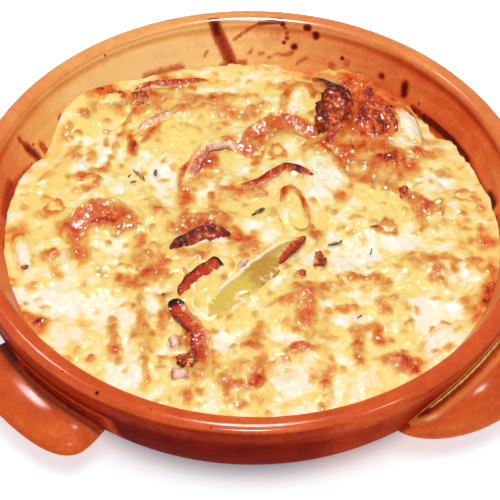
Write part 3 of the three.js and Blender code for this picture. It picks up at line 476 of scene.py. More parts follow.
class Finish:
    """A material under construction."""

    def __init__(self, name):
        self.material = bpy.data.materials.new(name)
        self.material.use_nodes = True
        self.tree = self.material.node_tree
        self.shader = self.tree.nodes["Principled BSDF"]
        self.place = self.node("ShaderNodeTexCoord").outputs["Object"]

    def node(self, kind, settings=None, inputs=None):
        node = self.tree.nodes.new(kind)
        for name, value in (settings or {}).items():
            if name == "stops":
                self.set_stops(node.color_ramp, value)
            else:
                setattr(node, name, value)
        for name, value in (inputs or {}).items():
            self.set_input(node.inputs[name], value)
        return node

    def set_stops(self, ramp, stops):
        while len(ramp.elements) < len(stops):
            ramp.elements.new(0.5)
        for element, (position, colour) in zip(ramp.elements, stops):
            element.position = position
            element.color = colour

    def set_input(self, socket, value):
        if isinstance(value, Term):
            value = value.socket
        if isinstance(value, bpy.types.NodeSocket):
            self.tree.links.new(value, socket)
        else:
            socket.default_value = value

    def feed(self, name, value):
        self.set_input(self.shader.inputs[name], value)

    def math(self, operation, *values):
        node = self.node("ShaderNodeMath", {"operation": operation}, dict(enumerate(values)))
        return Term(self, node.outputs[0])

    def attribute(self, name):
        return Term(self, self.node("ShaderNodeAttribute", {"attribute_name": name}).outputs["Fac"])

    def noise(self, size, detail=2, place=None):
        """Noise about 0, whose grains are of a size in millimetres."""
        inputs = {"Vector": place or self.place, "Scale": 1 / (size * MM), "Detail": detail}
        node = self.node("ShaderNodeTexNoise", None, inputs)
        return Term(self, node.outputs[0]) - 0.5

    def cells(self, size):
        """Distance to the nearest of a scatter of points, 0 at a point and about 1 between them."""
        inputs = {"Vector": self.place, "Scale": 1 / (size * MM)}
        node = self.node("ShaderNodeTexVoronoi", {"feature": "SMOOTH_F1"}, inputs)
        return Term(self, node.outputs["Distance"])

    def distance_to(self, point):
        """Distance in millimetres from a point."""
        inputs = {0: self.place, 1: Vector(point) * MM}
        node = self.node("ShaderNodeVectorMath", {"operation": "DISTANCE"}, inputs)
        return Term(self, node.outputs["Value"]) * (1 / MM)

    def step(self, value, low, high):
        """0 below low, 1 above high, and smooth between them."""
        inputs = {"Value": value, "From Min": low, "From Max": high}
        node = self.node("ShaderNodeMapRange", {"interpolation_type": "SMOOTHSTEP"}, inputs)
        return Term(self, node.outputs[0])

    def ramp(self, value, stops):
        return self.node("ShaderNodeValToRGB", {"stops": stops}, {0: value}).outputs[0]

    def mix(self, factor, low, high):
        """The low colour where the factor is 0, and the high one where it is 1."""
        return self.node("ShaderNodeMix", {"data_type": "RGBA"}, {0: factor, 6: low, 7: high}).outputs[2]

    def stretch(self, scale):
        """The object's coordinates, scaled apart along each axis."""
        return self.node("ShaderNodeMapping", None, {"Vector": self.place, "Scale": scale}).outputs[0]

    def gloss(self, roughness, specular, coat, coat_roughness):
        """How rough and shiny the surface is, and the glossy coat over it."""
        self.feed("Roughness", roughness)
        self.feed("Specular IOR Level", specular)
        self.feed("Coat Weight", coat)
        self.feed("Coat IOR", COAT_IOR)
        self.feed("Coat Roughness", coat_roughness)

    def bump(self, height, depth):
        """Relief of a depth in millimetres, for a height from 0 to 1."""
        node = self.node("ShaderNodeBump", None, {"Height": height, "Distance": depth * MM, "Strength": 1})
        self.feed("Normal", node.outputs[0])


def browned_cheese(finish):
    """The colour, heat and relief of cheese and cream, from the toast and cream attributes."""
    toast = finish.attribute("toast")
    cream = finish.attribute("cream")
    mottle = finish.noise(7, 2)
    grain = finish.noise(2.2, 3)
    fine = finish.noise(0.9, 2)
    halo = finish.step(toast, 0.03, 0.22)
    pale = finish.step(cream + mottle * 2 + grain * 0.5 - halo * 0.3, -0.14, 0.55)
    base = finish.mix(pale, linear(246, 217, 126), linear(250, 240, 218))
    curd = finish.step(fine + grain * 0.6, 0.02, 0.3) * 0.3
    base = finish.mix(curd, base, linear(255, 250, 232))
    heat = toast + grain * 0.4 * finish.step(toast, 0.03, 0.5)
    heat = heat + fine * 0.32 * finish.step(toast, 0.1, 0.6)
    browned = finish.ramp(heat, [
        (0.0, linear(249, 224, 142)), (0.2, linear(245, 208, 120)), (0.38, linear(241, 182, 94)),
        (0.56, linear(234, 144, 62)), (0.73, linear(230, 105, 28)), (0.88, linear(216, 66, 9)),
        (1.05, linear(132, 28, 8))])
    colour = finish.mix(finish.step(heat, 0.02, 0.4), base, browned)
    # Pale pink-white flecks on the browned places: painted glints
    painted_glints = finish.step(finish.noise(0.9, 1), 0.12, 0.22) * finish.step(toast, 0.2, 0.5)
    colour = finish.mix(painted_glints * 0.55, colour, linear(255, 222, 178))
    blisters = (1 - finish.cells(1.4)) * finish.step(toast, 0.15, 0.6)
    relief = fine * (0.5 + finish.step(toast, 0.1, 0.5) * 1.1) + grain * 0.3 + blisters * 0.8
    return colour, heat, relief


def make_crust_finish():
    finish = Finish("crust")
    colour, heat, relief = browned_cheese(finish)
    finish.feed("Base Color", colour)
    finish.gloss(0.6, 0.03, 0.45 + finish.step(heat, 0.25, 0.6) * 0.3, 0.06)
    finish.feed("Subsurface Weight", 0.3)
    finish.feed("Subsurface Radius", (1.0, 0.5, 0.2))
    finish.feed("Subsurface Scale", 1.5 * MM)
    finish.bump(relief, 0.85)
    return finish.material


def lay_under_cheese(finish, own):
    """A topping's own colour, with cheese over it where the cover attribute says so."""
    cheese, _, _ = browned_cheese(finish)
    cover = finish.attribute("cover") + finish.noise(2.2, 3) * 0.9
    return finish.mix(finish.step(cover, 0.35, 0.65), own, cheese)


def make_bacon_finish():
    finish = Finish("bacon")
    burn = finish.attribute("burn")
    across = finish.attribute("across")
    streaks = finish.noise(2.6, 3)
    fine = finish.noise(1.0, 2)
    fat = finish.step(streaks * 2.4 + fine * 1.4 - across * across * 0.4, -0.15, 0.75)
    lean = finish.mix(fat, linear(204, 56, 16), linear(236, 132, 58))
    peach = finish.step(fine * 0.8 - across + streaks, 0, 0.9)
    lean = finish.mix(peach * 0.8, lean, linear(244, 176, 112))
    rind = finish.step(across + streaks * 1.2, 0.3, 0.9)
    lean = finish.mix(rind * 0.75, lean, linear(142, 28, 18))
    seared = finish.step(burn + streaks * 0.6, 0.2, 0.6)
    colour = finish.mix(seared, lean, linear(138, 26, 8))
    # Pale flecks on the bacon: painted glints
    painted_glints = finish.step(finish.noise(1.2, 1), 0.14, 0.26) * 0.4
    colour = finish.mix(painted_glints, colour, linear(252, 200, 150))
    dark = finish.step(burn + streaks * 0.6 + fine * 0.4, 0.5, 0.85)
    colour = finish.mix(dark, colour, linear(52, 12, 7))
    finish.feed("Base Color", lay_under_cheese(finish, colour))
    finish.gloss(0.6, 0.03, 0.5, 0.12)
    finish.bump(streaks + fine * 1.6, 0.8)
    return finish.material


def make_char_finish():
    finish = Finish("char")
    burn = finish.attribute("burn")
    clumps = finish.noise(5, 3)
    grain = finish.noise(1.8, 3)
    fine = finish.noise(0.8, 2)
    heat = 0.34 + burn * 0.6 + clumps * 1.4 + grain * 1.2
    colour = finish.ramp(heat, [
        (0.06, linear(240, 168, 100)), (0.24, linear(216, 100, 48)), (0.44, linear(168, 52, 26)),
        (0.68, linear(108, 26, 12)), (1.0, linear(44, 12, 8))])
    # Pale peach flecks on the charred lumps: painted highlights
    pale = finish.step(grain + fine * 1.2, 0.2, 0.4) * 0.45
    colour = finish.mix(pale, colour, linear(206, 130, 100))
    finish.feed("Base Color", lay_under_cheese(finish, colour))
    finish.gloss(0.6, 0.03, 0.4, 0.12)
    finish.bump(clumps * 0.6 + grain + fine * 0.5 + (1 - finish.cells(1.8)) * 0.5, 0.8)
    return finish.material


def make_onion_finish():
    finish = Finish("onion")
    burn = finish.attribute("burn")
    across = finish.attribute("across")
    fibre = finish.noise(2.6, 3)
    purple = finish.step(across * across + fibre * 1.6, 0, 0.9)
    flesh = finish.mix(purple, linear(234, 198, 170), linear(176, 100, 100))
    layer = abs(abs(across) - 0.5 + fibre * 0.3)
    flesh = finish.mix((1 - finish.step(layer, 0.03, 0.14)) * 0.45, flesh, linear(190, 116, 118))
    browned = finish.ramp(burn + fibre * 0.5, [
        (0.0, linear(226, 150, 96)), (0.4, linear(204, 96, 58)), (0.8, linear(164, 48, 30)),
        (1.0, linear(96, 28, 26))])
    colour = finish.mix(finish.step(burn + fibre * 0.5, 0.15, 0.55), flesh, browned)
    finish.feed("Base Color", lay_under_cheese(finish, colour))
    finish.gloss(0.5, 0.1, 0.35, 0.1)
    finish.feed("Subsurface Weight", 0.12)
    finish.feed("Subsurface Scale", 2 * MM)
    finish.bump(fibre + finish.noise(1.0, 2) * 0.5, 0.35)
    return finish.material


def make_pepper_finish():
    finish = Finish("pepper")
    along = finish.attribute("along")
    across = finish.attribute("across")
    fibre = finish.noise(4, 3)
    speckle = finish.noise(0.8, 2)
    centred = along - 0.62
    middle = finish.step(1 - centred * centred * 22 + fibre * 0.9, 0.1, 0.9)
    flesh = finish.mix(middle, linear(212, 178, 66), linear(190, 140, 44))
    green = finish.step(along + fibre * 0.4, 0.72, 0.95)
    flesh = finish.mix(green * 0.5, flesh, linear(196, 146, 84))
    edge = finish.step(across + fibre * 0.4, 0.45, 0.7)
    flesh = finish.mix(edge * 0.9, flesh, linear(250, 238, 208))
    colour = finish.mix(finish.step(speckle, 0.03, 0.2) * 0.35, flesh, linear(234, 206, 122))
    finish.feed("Base Color", lay_under_cheese(finish, colour))
    finish.gloss(0.5, 0.05, 0.35, 0.16)
    finish.feed("Subsurface Weight", 0.1)
    finish.feed("Subsurface Scale", 2 * MM)
    finish.bump(fibre * 0.6 + speckle * 0.6, 0.35)
    return finish.material


def make_herb_finish():
    finish = Finish("herb")
    dry = finish.noise(1.5, 2)
    colour = finish.mix(finish.step(dry, -0.1, 0.2), linear(96, 56, 36), linear(164, 132, 80))
    finish.feed("Base Color", colour)
    finish.feed("Roughness", 0.6)
    finish.feed("Specular IOR Level", 0.1)
    finish.bump(dry, 0.2)
    return finish.material


def make_glaze_finish():
    """Red-brown glaze, from deep to honey by the pale attribute, which also holds painted shade and a
    painted floor reflection, and scorched by the burn attribute, which also holds painted shade beside the
    left lug.
    """
    finish = Finish("glaze")
    pale = finish.attribute("pale")
    burn = finish.attribute("burn")
    gold = finish.attribute("gold")
    broad = finish.noise(38, 3)
    brushed = finish.noise(12, 4, finish.stretch((0.45, 0.45, 3)))
    runs = finish.noise(8, 3, finish.stretch((1, 1, 0.2)))
    fine = finish.noise(2.5, 3)
    tone = pale + broad * 0.16 + brushed * 0.22 + runs * 0.12 + fine * 0.14
    colour = finish.ramp(tone, [
        (0.0, linear(96, 14, 5)), (0.14, linear(130, 26, 8)), (0.3, linear(172, 52, 20)),
        (0.48, linear(212, 88, 38)), (0.66, linear(228, 132, 70)), (0.84, linear(240, 172, 98)),
        (1.0, linear(250, 208, 138))])
    honey = 1 - finish.step(gold + fine * 1.4, 0.3, 1.3)
    streak = 1 - finish.step(abs(gold - 5 + fine * 3), 0.5, 2.2)
    colour = finish.mix(streak * 0.6, colour, linear(232, 140, 72))
    colour = finish.mix(honey, colour, linear(255, 218, 112))
    finer = finish.noise(1.1, 2)
    film = finish.step(finish.attribute("film") + fine * 0.5 + finer * 0.4, 0.2, 0.9)
    colour = finish.mix(film * 0.85, colour, linear(240, 196, 112))
    # A grey-brown band along the left lug's seam with the wall: painted shade
    painted_seam_shadow = 1 - finish.step(finish.attribute("gap") + fine * 0.8, 2, 4)
    colour = finish.mix(painted_seam_shadow * 0.85, colour, linear(106, 55, 46))
    spots = [(wall_point(angle, z), size, strength) for angle, z, size, strength in WALL_SPOTS]
    spots += [(lip_point(angle, z), size, 1.1) for angle, z, size in LIP_SPECKS]
    for point, size, strength in spots:
        spot = 1 - finish.step(finish.distance_to(point) + fine * size, 0.3 * size, 1.5 * size)
        burn = finish.math("MAXIMUM", burn, spot * strength)
    scorch = burn + (fine * 0.4 + finer * 0.2) * finish.step(burn, 0, 0.2)
    colour = finish.mix(finish.step(scorch, 0.02, 0.55) * 0.92, colour, linear(196, 62, 26))
    colour = finish.mix(finish.step(scorch, 0.5, 1.0), colour, linear(88, 18, 8))
    finish.feed("Base Color", colour)
    finish.gloss(0.6, 0, finish.attribute("sheen"), 0.16)
    finish.bump(broad * 0.4 + brushed * 0.12 + fine * 0.12 + finish.step(scorch, 0.3, 0.7) * 0.6, 0.5)
    return finish.material


def scatter(i, j):
    """A fixed value from 0 to 1 for each point of a grid."""
    value = np.sin(i * 12.9898 + j * 78.233) * 43758.5453
    return value - np.floor(value)


def smooth(value):
    value = np.clip(value, 0, 1)
    return value * value * (3 - 2 * value)


def lumps(x, y, size):
    """Smooth lumps about 0, of a size in millimetres."""
    u, v = x / size, y / size
    i, j = np.floor(u), np.floor(v)
    s, t = smooth(u - i), smooth(v - j)
    low = scatter(i, j) * (1 - s) + scatter(i + 1, j) * s
    high = scatter(i, j + 1) * (1 - s) + scatter(i + 1, j + 1) * s
    return low * (1 - t) + high * t - 0.5


def lump_layers(x, y, layers):
    return sum(height * lumps(x + shift_x, y + shift_y, size) for height, size, shift_x, shift_y in layers)


def bubbles(x, y, size):
    """Domes from 0 to 1 about a jittered scatter of points, and a fixed value for each dome."""
    i, j = np.floor(x / size), np.floor(y / size)
    nearest = np.full_like(x, 9.0)
    value = np.zeros_like(x)
    for di in (-1, 0, 1):
        for dj in (-1, 0, 1):
            centre_x = (i + di + 0.15 + 0.7 * scatter(i + di + 7, j + dj)) * size
            centre_y = (j + dj + 0.15 + 0.7 * scatter(i + di, j + dj + 7)) * size
            distance = np.hypot(x - centre_x, y - centre_y) / size
            closer = distance < nearest
            nearest = np.where(closer, distance, nearest)
            value = np.where(closer, scatter(i + di + 3, j + dj + 5), value)
    return np.clip(1 - (nearest / 0.62) ** 2, 0, 1), value


def patch(x, y, centre_x, centre_y, a, b, turn=0):
    """How far inside an oval each point is: 1 at its middle, 0 well outside it."""
    cosine, sine = math.cos(math.radians(turn)), math.sin(math.radians(turn))
    along = (x - centre_x) * cosine + (y - centre_y) * sine
    across = (y - centre_y) * cosine - (x - centre_x) * sine
    return np.exp(-(along / a) ** 2 - (across / b) ** 2)


def line_distance(x, y, start, end):
    """Distance in plan from each point to a straight line between two points."""
    run = np.array(end, float) - np.array(start, float)
    share = ((x - start[0]) * run[0] + (y - start[1]) * run[1]) / max(float(run @ run), 1e-9)
    share = np.clip(share, 0, 1)
    return np.hypot(x - start[0] - share * run[0], y - start[1] - share * run[1])


def radius_at(z, profile):
    """The radius of a profile that climbs, at a height."""
    radii, heights = zip(*profile)
    return np.interp(z, heights, radii)


def wall_radius(z):
    return radius_at(z, INNER_WALL[::-1])


def outer_radius(z):
    return radius_at(z, OUTER_WALL)


def around(radius, angle, z):
    """The place at a radius, an angle in degrees about the dish, and a height."""
    return (radius * math.cos(math.radians(angle)), radius * math.sin(math.radians(angle)), z)


def wall_point(angle, z):
    """A point on the wall inside."""
    return around(float(wall_radius(z)), angle, z)


def lip_point(angle, z):
    """A point on the outer half of the lip."""
    return around(float(radius_at(z, OUTER_WALL[-1:] + LIP[:3])), angle, z)


def turn_from(place, angle):
    """Degrees from a place to each angle, from -180 to 180."""
    return (angle - place + 180) % 360 - 180


def angle_gap(angle, place):
    """Degrees between each angle and a place, either way round."""
    return np.abs(turn_from(place, angle))


def towards(angle, place, spread):
    """1 on the side of the dish that a place is on, and 0 well away from it."""
    return np.exp(-(angle_gap(angle, place) / spread) ** 2)


def shore_height(angle):
    """How high the crust meets the wall, at angles in radians."""
    height = np.full_like(angle, float(GRATIN_LEVEL))
    for place, spread, rise in SHORE:
        height += rise * np.exp((np.cos(angle - math.radians(place)) - 1) / math.radians(spread) ** 2)
    return height


def crust_height(x, y):
    """The broad height of the crust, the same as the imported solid's."""
    x, y = np.asarray(x, float), np.asarray(y, float)
    height = GRATIN_LEVEL + 2 * BLISTER_HEIGHT * lumps(x, y, BLISTER_SIZE)
    for *place, rise in SWELLS:
        height = height + rise * patch(x, y, *place)
    shore = shore_height(np.arctan2(y, x))
    share = smooth((np.hypot(x, y) / wall_radius(shore) - 1 + SHORE_BLEND) / SHORE_BLEND)
    return height * (1 - share) + shore * share


def laps(x, y):
    """How far the cheese climbs around the strips and chunks, and how near they are, from 0 to 1."""
    rise, near = np.zeros_like(x), np.zeros_like(x)
    for points, width, _, _, lift in STRIPS.values():
        line = catmull(points, 4)
        distance = np.min([line_distance(x, y, a, b) for a, b in zip(line, line[1:])], axis=0)
        share = smooth((width / 2 + LAP_REACH - distance) / (LAP_REACH + 1))
        rise = np.maximum(rise, LAP_SHARE * lift * share)
        near = np.maximum(near, share)
    reach, blend, height = CHUNK_LAP
    for centre_x, centre_y, (a, b, c), turn, _, lift, *_ in CHUNKS.values():
        oval = np.sqrt(-np.log(np.maximum(patch(x, y, centre_x, centre_y, a, b, turn), 1e-9)))
        share = smooth((reach - oval) / blend)
        rise = np.maximum(rise, (lift + height * c) * share)
        near = np.maximum(near, share)
    return rise, near


def toast_at(x, y):
    """How far the crust is browned at each point."""
    warp_x, warp_y = x + lump_layers(x, y, WANDER_X), y + lump_layers(x, y, WANDER_Y)
    cool = np.ones_like(x)
    for centre_x, centre_y, a, b, heat, *turn in BROWNED:
        spot = patch(warp_x, warp_y, centre_x, centre_y, a * TOAST_SPREAD, b * TOAST_SPREAD, *turn)
        cool *= 1 - heat * (TOAST_CORE * spot + TOAST_HALO * spot ** HALO_POWER)
    for points, heat in BROWNED_LINES:
        for start, end in zip(points, points[1:]):
            distance = line_distance(warp_x, warp_y, start, end)
            cool *= 1 - LINE_HEAT * heat * np.exp(-(distance / LINE_WIDTH) ** 2)
    for centre_x, centre_y, radius, heat in BROWNED_RINGS:
        distance = np.hypot(warp_x - centre_x, warp_y - centre_y) - radius
        cool *= 1 - heat * np.exp(-(distance / RING_WIDTH) ** 2)
    dome, value = bubbles(warp_x, warp_y, BROWN_BUBBLE)
    cool *= 1 - np.clip(value - 0.4, 0, 1) * 0.8 * dome ** 2
    mottle = lump_layers(x, y, MOTTLE) * (0.12 + 0.38 * (1 - cool))
    return np.clip(1 - cool + mottle, 0, 1.1)


def ridges(x, y):
    """1 along the lines where a slice's edge lifts the cheese, 0 away from them."""
    ridge = np.zeros_like(x)
    for points, _ in BROWNED_LINES:
        for start, end in zip(points, points[1:]):
            ridge = np.maximum(ridge, np.exp(-(line_distance(x, y, start, end) / RIDGE_WIDTH) ** 2))
    return ridge


def cream_at(x, y):
    """How pale the crust is: above 0 where cream pools, below it where butter shows."""
    level = np.full_like(x, 0.12)
    for place in CREAM:
        level += CREAM_STRENGTH * patch(x, y, *place)
    for place in BUTTER:
        level -= BUTTER_STRENGTH * patch(x, y, *place)
    return np.clip(level, -0.6, 1)


def crust_relief(x, y, toast, cream):
    """Bubbles, swollen browned places and dips in the cream, in millimetres."""
    dome, value = bubbles(x, y, BUBBLE)
    small_dome, _ = bubbles(x + 31, y, SMALL_BUBBLE)
    relief = 0.8 * dome ** 2 * (0.2 + value) + 0.7 * small_dome ** 2 * (0.2 + toast)
    relief += 0.8 * smooth(toast * 1.2) + lump_layers(x, y, MOTTLE) * (0.5 + toast)
    return relief + lump_layers(x, y, CRUMB) + 0.9 * ridges(x, y) - 0.5 * cream


def catmull(points, steps):
    """A smooth line through points, with a number of steps between each two."""
    points = np.array(points, float)
    before = np.vstack([2 * points[0] - points[1], points, 2 * points[-1] - points[-2]])
    line = []
    for k in range(len(points) - 1):
        p0, p1, p2, p3 = before[k:k + 4]
        for t in np.arange(steps) / steps:
            line.append(0.5 * (2 * p1 + (p2 - p0) * t + (2 * p0 - 5 * p1 + 4 * p2 - p3) * t ** 2
                               + (3 * p1 - p0 - 3 * p2 + p3) * t ** 3))
    line.append(points[-1])
    return np.array(line)


def get_points(mesh):
    points = np.empty(len(mesh.vertices) * 3)
    mesh.vertices.foreach_get("co", points)
    return points.reshape(-1, 3)


def set_points(mesh, points):
    """Puts a mesh's vertices at places given in millimetres."""
    mesh.vertices.foreach_set("co", (points * MM).ravel())
    mesh.update()


def paint(mesh, **values):
    """Stores numbers on a mesh's vertices, for its material to read."""
    for name, numbers in values.items():
        layer = mesh.attributes.new(name, "FLOAT", "POINT")
        layer.data.foreach_set("value", np.asarray(numbers, np.float32))


def take_mesh(bm, name):
    mesh = bpy.data.meshes.new(name)
    bm.to_mesh(mesh)
    bm.free()
    return mesh


def place_piece(mesh, name, material, slot, *nodes):
    """Makes a finished piece of a mesh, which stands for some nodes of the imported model."""
    mesh.shade_smooth()
    mesh.materials.clear()
    mesh.materials.append(material)
    piece = bpy.data.objects.new(name, mesh)
    bpy.context.collection.objects.link(piece)
    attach(piece, "root")
    if nodes:
        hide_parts(*nodes)


def make_bowl():
    """The thrown bowl: its section spun about the axis."""
    section = [(0, 0), (FOOT_RADIUS - 3, 0)]
    section += [tuple(p) for p in catmull(OUTER_WALL + LIP + INNER_WALL, SECTION_STEPS)]
    section += [(0, FLOOR_THICKNESS)]
    bm = bmesh.new()
    corners = [bm.verts.new((radius, 0, z)) for radius, z in section]
    for corner, following in zip(corners, corners[1:]):
        bm.edges.new((corner, following))
    bmesh.ops.spin(bm, geom=bm.verts[:] + bm.edges[:], axis=(0, 0, 1), cent=(0, 0, 0), angle=2 * math.pi,
                   steps=DISH_STEPS, use_merge=True)
    bmesh.ops.remove_doubles(bm, verts=bm.verts, dist=1e-4)
    face_outward(bm)
    return take_mesh(bm, "bowl")


def make_lug(angle, before, after, reach, height, half, bluntness):
    """A lug handle: a ball drawn out round the wall, with its ends blunted and its root in the wall."""
    bm = bmesh.new()
    bmesh.ops.create_uvsphere(bm, u_segments=60, v_segments=60, radius=1)
    bmesh.ops.rotate(bm, verts=bm.verts, matrix=Matrix.Rotation(math.pi / 2, 3, "Y"))
    for vertex in bm.verts:
        x, y, z = vertex.co
        roundness = math.sqrt(max(1 - x * x, 1e-6))
        fullness = max(1 - abs(x) ** bluntness, 1e-6) ** (1 / bluntness)
        swell = min(fullness / roundness, LUG_BLUNTNESS)
        out, z = y * swell, height + half * z * swell
        root = LUG_ROOT_RADIUS if out > 0 else min(LUG_ROOT_RADIUS, outer_radius(z) - 1)
        radius = root + out * (reach if out > 0 else LUG_ROOT_DEPTH)
        vertex.co = around(radius, angle - (before if x > 0 else after) * x, z)
    face_outward(bm)
    return take_mesh(bm, "lug")


def join_by_union(body, additions):
    """The union of a mesh with others, as one closed mesh."""
    base = bpy.data.objects.new("base", body)
    bpy.context.collection.objects.link(base)
    helpers = []
    for addition in additions:
        helper = bpy.data.objects.new("helper", addition)
        bpy.context.collection.objects.link(helper)
        union = base.modifiers.new("union", "BOOLEAN")
        union.operation = "UNION"
        union.solver = "EXACT"
        union.object = helper
        helpers.append(helper)
    depsgraph = bpy.context.evaluated_depsgraph_get()
    joined = bpy.data.meshes.new_from_object(base.evaluated_get(depsgraph))
    for thing in [base, *helpers]:
        bpy.data.objects.remove(thing)
    return joined


def seam_distance(lug, angle, radius, z):
    """How far points are from the seam along the top of a lug, where it meets the wall."""
    middle, before, after, _, height, half, bluntness = lug
    turn = turn_from(angle, middle)
    share = np.clip(np.abs(turn) / np.where(turn > 0, before, after), 0, 1)
    seam_height = height + 0.97 * half * np.maximum(1 - share ** bluntness, 0.002) ** (1 / bluntness)
    return np.hypot(radius - outer_radius(seam_height), z - seam_height)


def wall_scorch(angle, z):
    """How burnt the wall inside is."""
    burn = np.zeros_like(z)
    for angle_1, z_1, angle_2, z_2, width, strength in WALL_MARKS + SHORE_MARKS:
        middle = (angle_1 + angle_2) / 2
        arc = math.radians(1) * wall_radius((z_1 + z_2) / 2)
        start, end = ((angle_1 - middle) * arc, z_1), ((angle_2 - middle) * arc, z_2)
        distance = line_distance(turn_from(middle, angle) * arc, z, start, end)
        burn = np.maximum(burn, strength * smooth(1.45 - 0.8 * distance / width))
    return burn


def glaze_tone(angle, z, inside, crease, lip, on_lug):
    """How pale the glaze is, from 0, deep red-brown, to 1, honey, with painted shade and a painted floor
    reflection in it.
    """
    honey, ruddy, deep = [towards(angle, *side) for side in (HONEY_SIDE, RUDDY_SIDE, DEEP_SIDE)]
    # Darker in the crease under the lip: painted shade
    wall_inside = 0.66 + 0.37 * honey - 0.18 * ruddy - 0.24 * deep - 0.2 * crease
    wall_inside += 0.1 * smooth((z - 58) / 2)
    # The outside is much darker than the inside: partly a darker glaze, partly painted shade where the wall
    # faces away from the lamps. It is lighter towards the foot as a painted reflection of the floor, and
    # lighter towards the lip and on the front right
    outside_with_painted_shade = 0.06 + 0.24 * smooth((28 - z) / 20) + 0.16 * smooth((z - 46) / 10)
    outside_with_painted_shade += 0.14 * smooth(1 - angle_gap(angle, -30) / 45)
    outside_with_painted_shade += 0.2 * smooth(1.4 - angle_gap(angle, -66) / 10)
    pale = np.where(inside, wall_inside, outside_with_painted_shade)
    pale = pale * (1 - lip) + (0.46 + 0.36 * honey + 0.18 * ruddy) * lip
    # The lugs are darker on their underside: painted shade
    return pale * (1 - on_lug) + (0.47 - 0.12 * smooth((24 - z) / 8)) * on_lug


def glaze_sheen(points, angle, radius, inside, lip, on_lug):
    """How glossy the glaze is."""
    z = points[:, 2]
    wall = np.where(inside, 0.6, 0.05 + 0.1 * smooth((z - 48) / 8))
    front_crown = smooth(1 - angle_gap(angle, -90) / 60) * smooth((LIP_CROWN_RADIUS + 2.5 - radius) / 1.5)
    lug_gloss = 0.12 + 0.88 * sum(np.exp(-(np.linalg.norm(points - place, axis=1) / size) ** 2)
                                  for place, size in LUG_HIGHLIGHTS)
    lug_gloss *= smooth((z - 22) / 8) * on_lug
    return np.maximum.reduce([wall, lip * (1 - 0.85 * front_crown), lug_gloss])


def make_dish(material):
    mesh = join_by_union(make_bowl(), [make_lug(*lug) for lug in LUGS])
    points = get_points(mesh)
    x, y, z = points.T
    radius, angle = np.hypot(x, y), np.degrees(np.arctan2(y, x))
    inside = (radius < LIP_CROWN_RADIUS - 2) & (radius < wall_radius(z) + 3) & (z > FLOOR_THICKNESS - 1)
    lip = smooth((z - LIP_START) / 1.4)
    on_lug = smooth((radius - outer_radius(z) - 1) / 3)
    crease_height, crease_width, crease_depth = LIP_CREASE
    crease = inside * np.exp(-((z - crease_height) / crease_width) ** 2)
    swell_angle, swell_spread, swell = LIP_SWELL
    thick = swell * towards(angle, swell_angle, swell_spread) * smooth((z - 46) / 12)
    thick *= radius < LIP_CROWN_RADIUS - 0.5
    points[:, :2] *= 1 + ((crease * crease_depth - thick) / radius.clip(1))[:, None]
    left_lug, right_lug = LUGS[2:]
    # Painted shade on the outer wall beside the left lug's root, stored in the burn attribute with the
    # scorch marks
    left_root_painted_shade = smooth((15 - angle_gap(angle, -130)) / 5) * smooth((50 - z) / 6) * smooth((z - 14) / 6)
    burn = np.maximum(wall_scorch(angle, z) * inside, 0.8 * left_root_painted_shade * ~inside * (1 - on_lug))
    pooled = (angle > HONEY_ENDS[0]) & (angle < HONEY_ENDS[1]) & ~inside
    gold = np.where(pooled, seam_distance(right_lug, angle, radius, z), FAR)
    gold += 4 * smooth(1 - (angle - HONEY_ENDS[0]) / 6)
    # Distance from the left lug's seam, for the band of painted shade along it
    by_left_lug = (angle_gap(angle, left_lug[0]) < 15) & ~inside
    gap = np.where(by_left_lug, seam_distance(left_lug, angle, radius, z) - 1.5, FAR)
    film = smooth(1 - np.abs(z - shore_height(np.radians(angle))) / 4) * inside
    film *= smooth(1 - angle_gap(angle, 112) / 40)
    paint(mesh, pale=glaze_tone(angle, z, inside, crease, lip, on_lug), burn=burn, gold=gold, gap=gap,
          film=film, sheen=glaze_sheen(points, angle, radius, inside, lip, on_lug))
    set_points(mesh, points)
    place_piece(mesh, "glazed_dish", material, "glaze", "dish")


def make_gratin_mesh(rings):
    """A hexagon of even triangles, with rings of faces down from its edge, and a bottom.

    Each ring stands one unit lower than the last, until make_gratin puts it in the dish.
    """
    bm = bmesh.new()
    bmesh.ops.create_circle(bm, cap_ends=True, cap_tris=True, segments=6, radius=1)
    bmesh.ops.subdivide_edges(bm, edges=bm.edges[:], cuts=GRATIN_CUTS, use_grid_fill=True)
    edge = [e for e in bm.edges if e.is_boundary]
    for depth in range(1, rings + 1):
        grown = bmesh.ops.extrude_edge_only(bm, edges=edge)["geom"]
        for vertex in grown:
            if isinstance(vertex, bmesh.types.BMVert):
                vertex.co.z = -depth
        edge = [e for e in grown if isinstance(e, bmesh.types.BMEdge)]
    bmesh.ops.contextual_create(bm, geom=edge)
    face_outward(bm)
    return take_mesh(bm, "gratin")


def round_hexagon(points):
    """Where points of the hexagon lie once it is round: the ring from 0 to 1, and the angle in radians.

    A point keeps its ring, and its share of the way along its side.
    """
    flat_angle = np.degrees(np.arctan2(points[:, 1], points[:, 0])) - 30
    within = flat_angle % 60
    hexagon = math.cos(math.radians(30))
    ring = np.hypot(points[:, 0], points[:, 1]) * np.cos(np.radians(within - 30)) / hexagon
    share = 0.5 + hexagon * np.tan(np.radians(within - 30))
    return ring, np.radians(flat_angle - within + 30 + 60 * share)


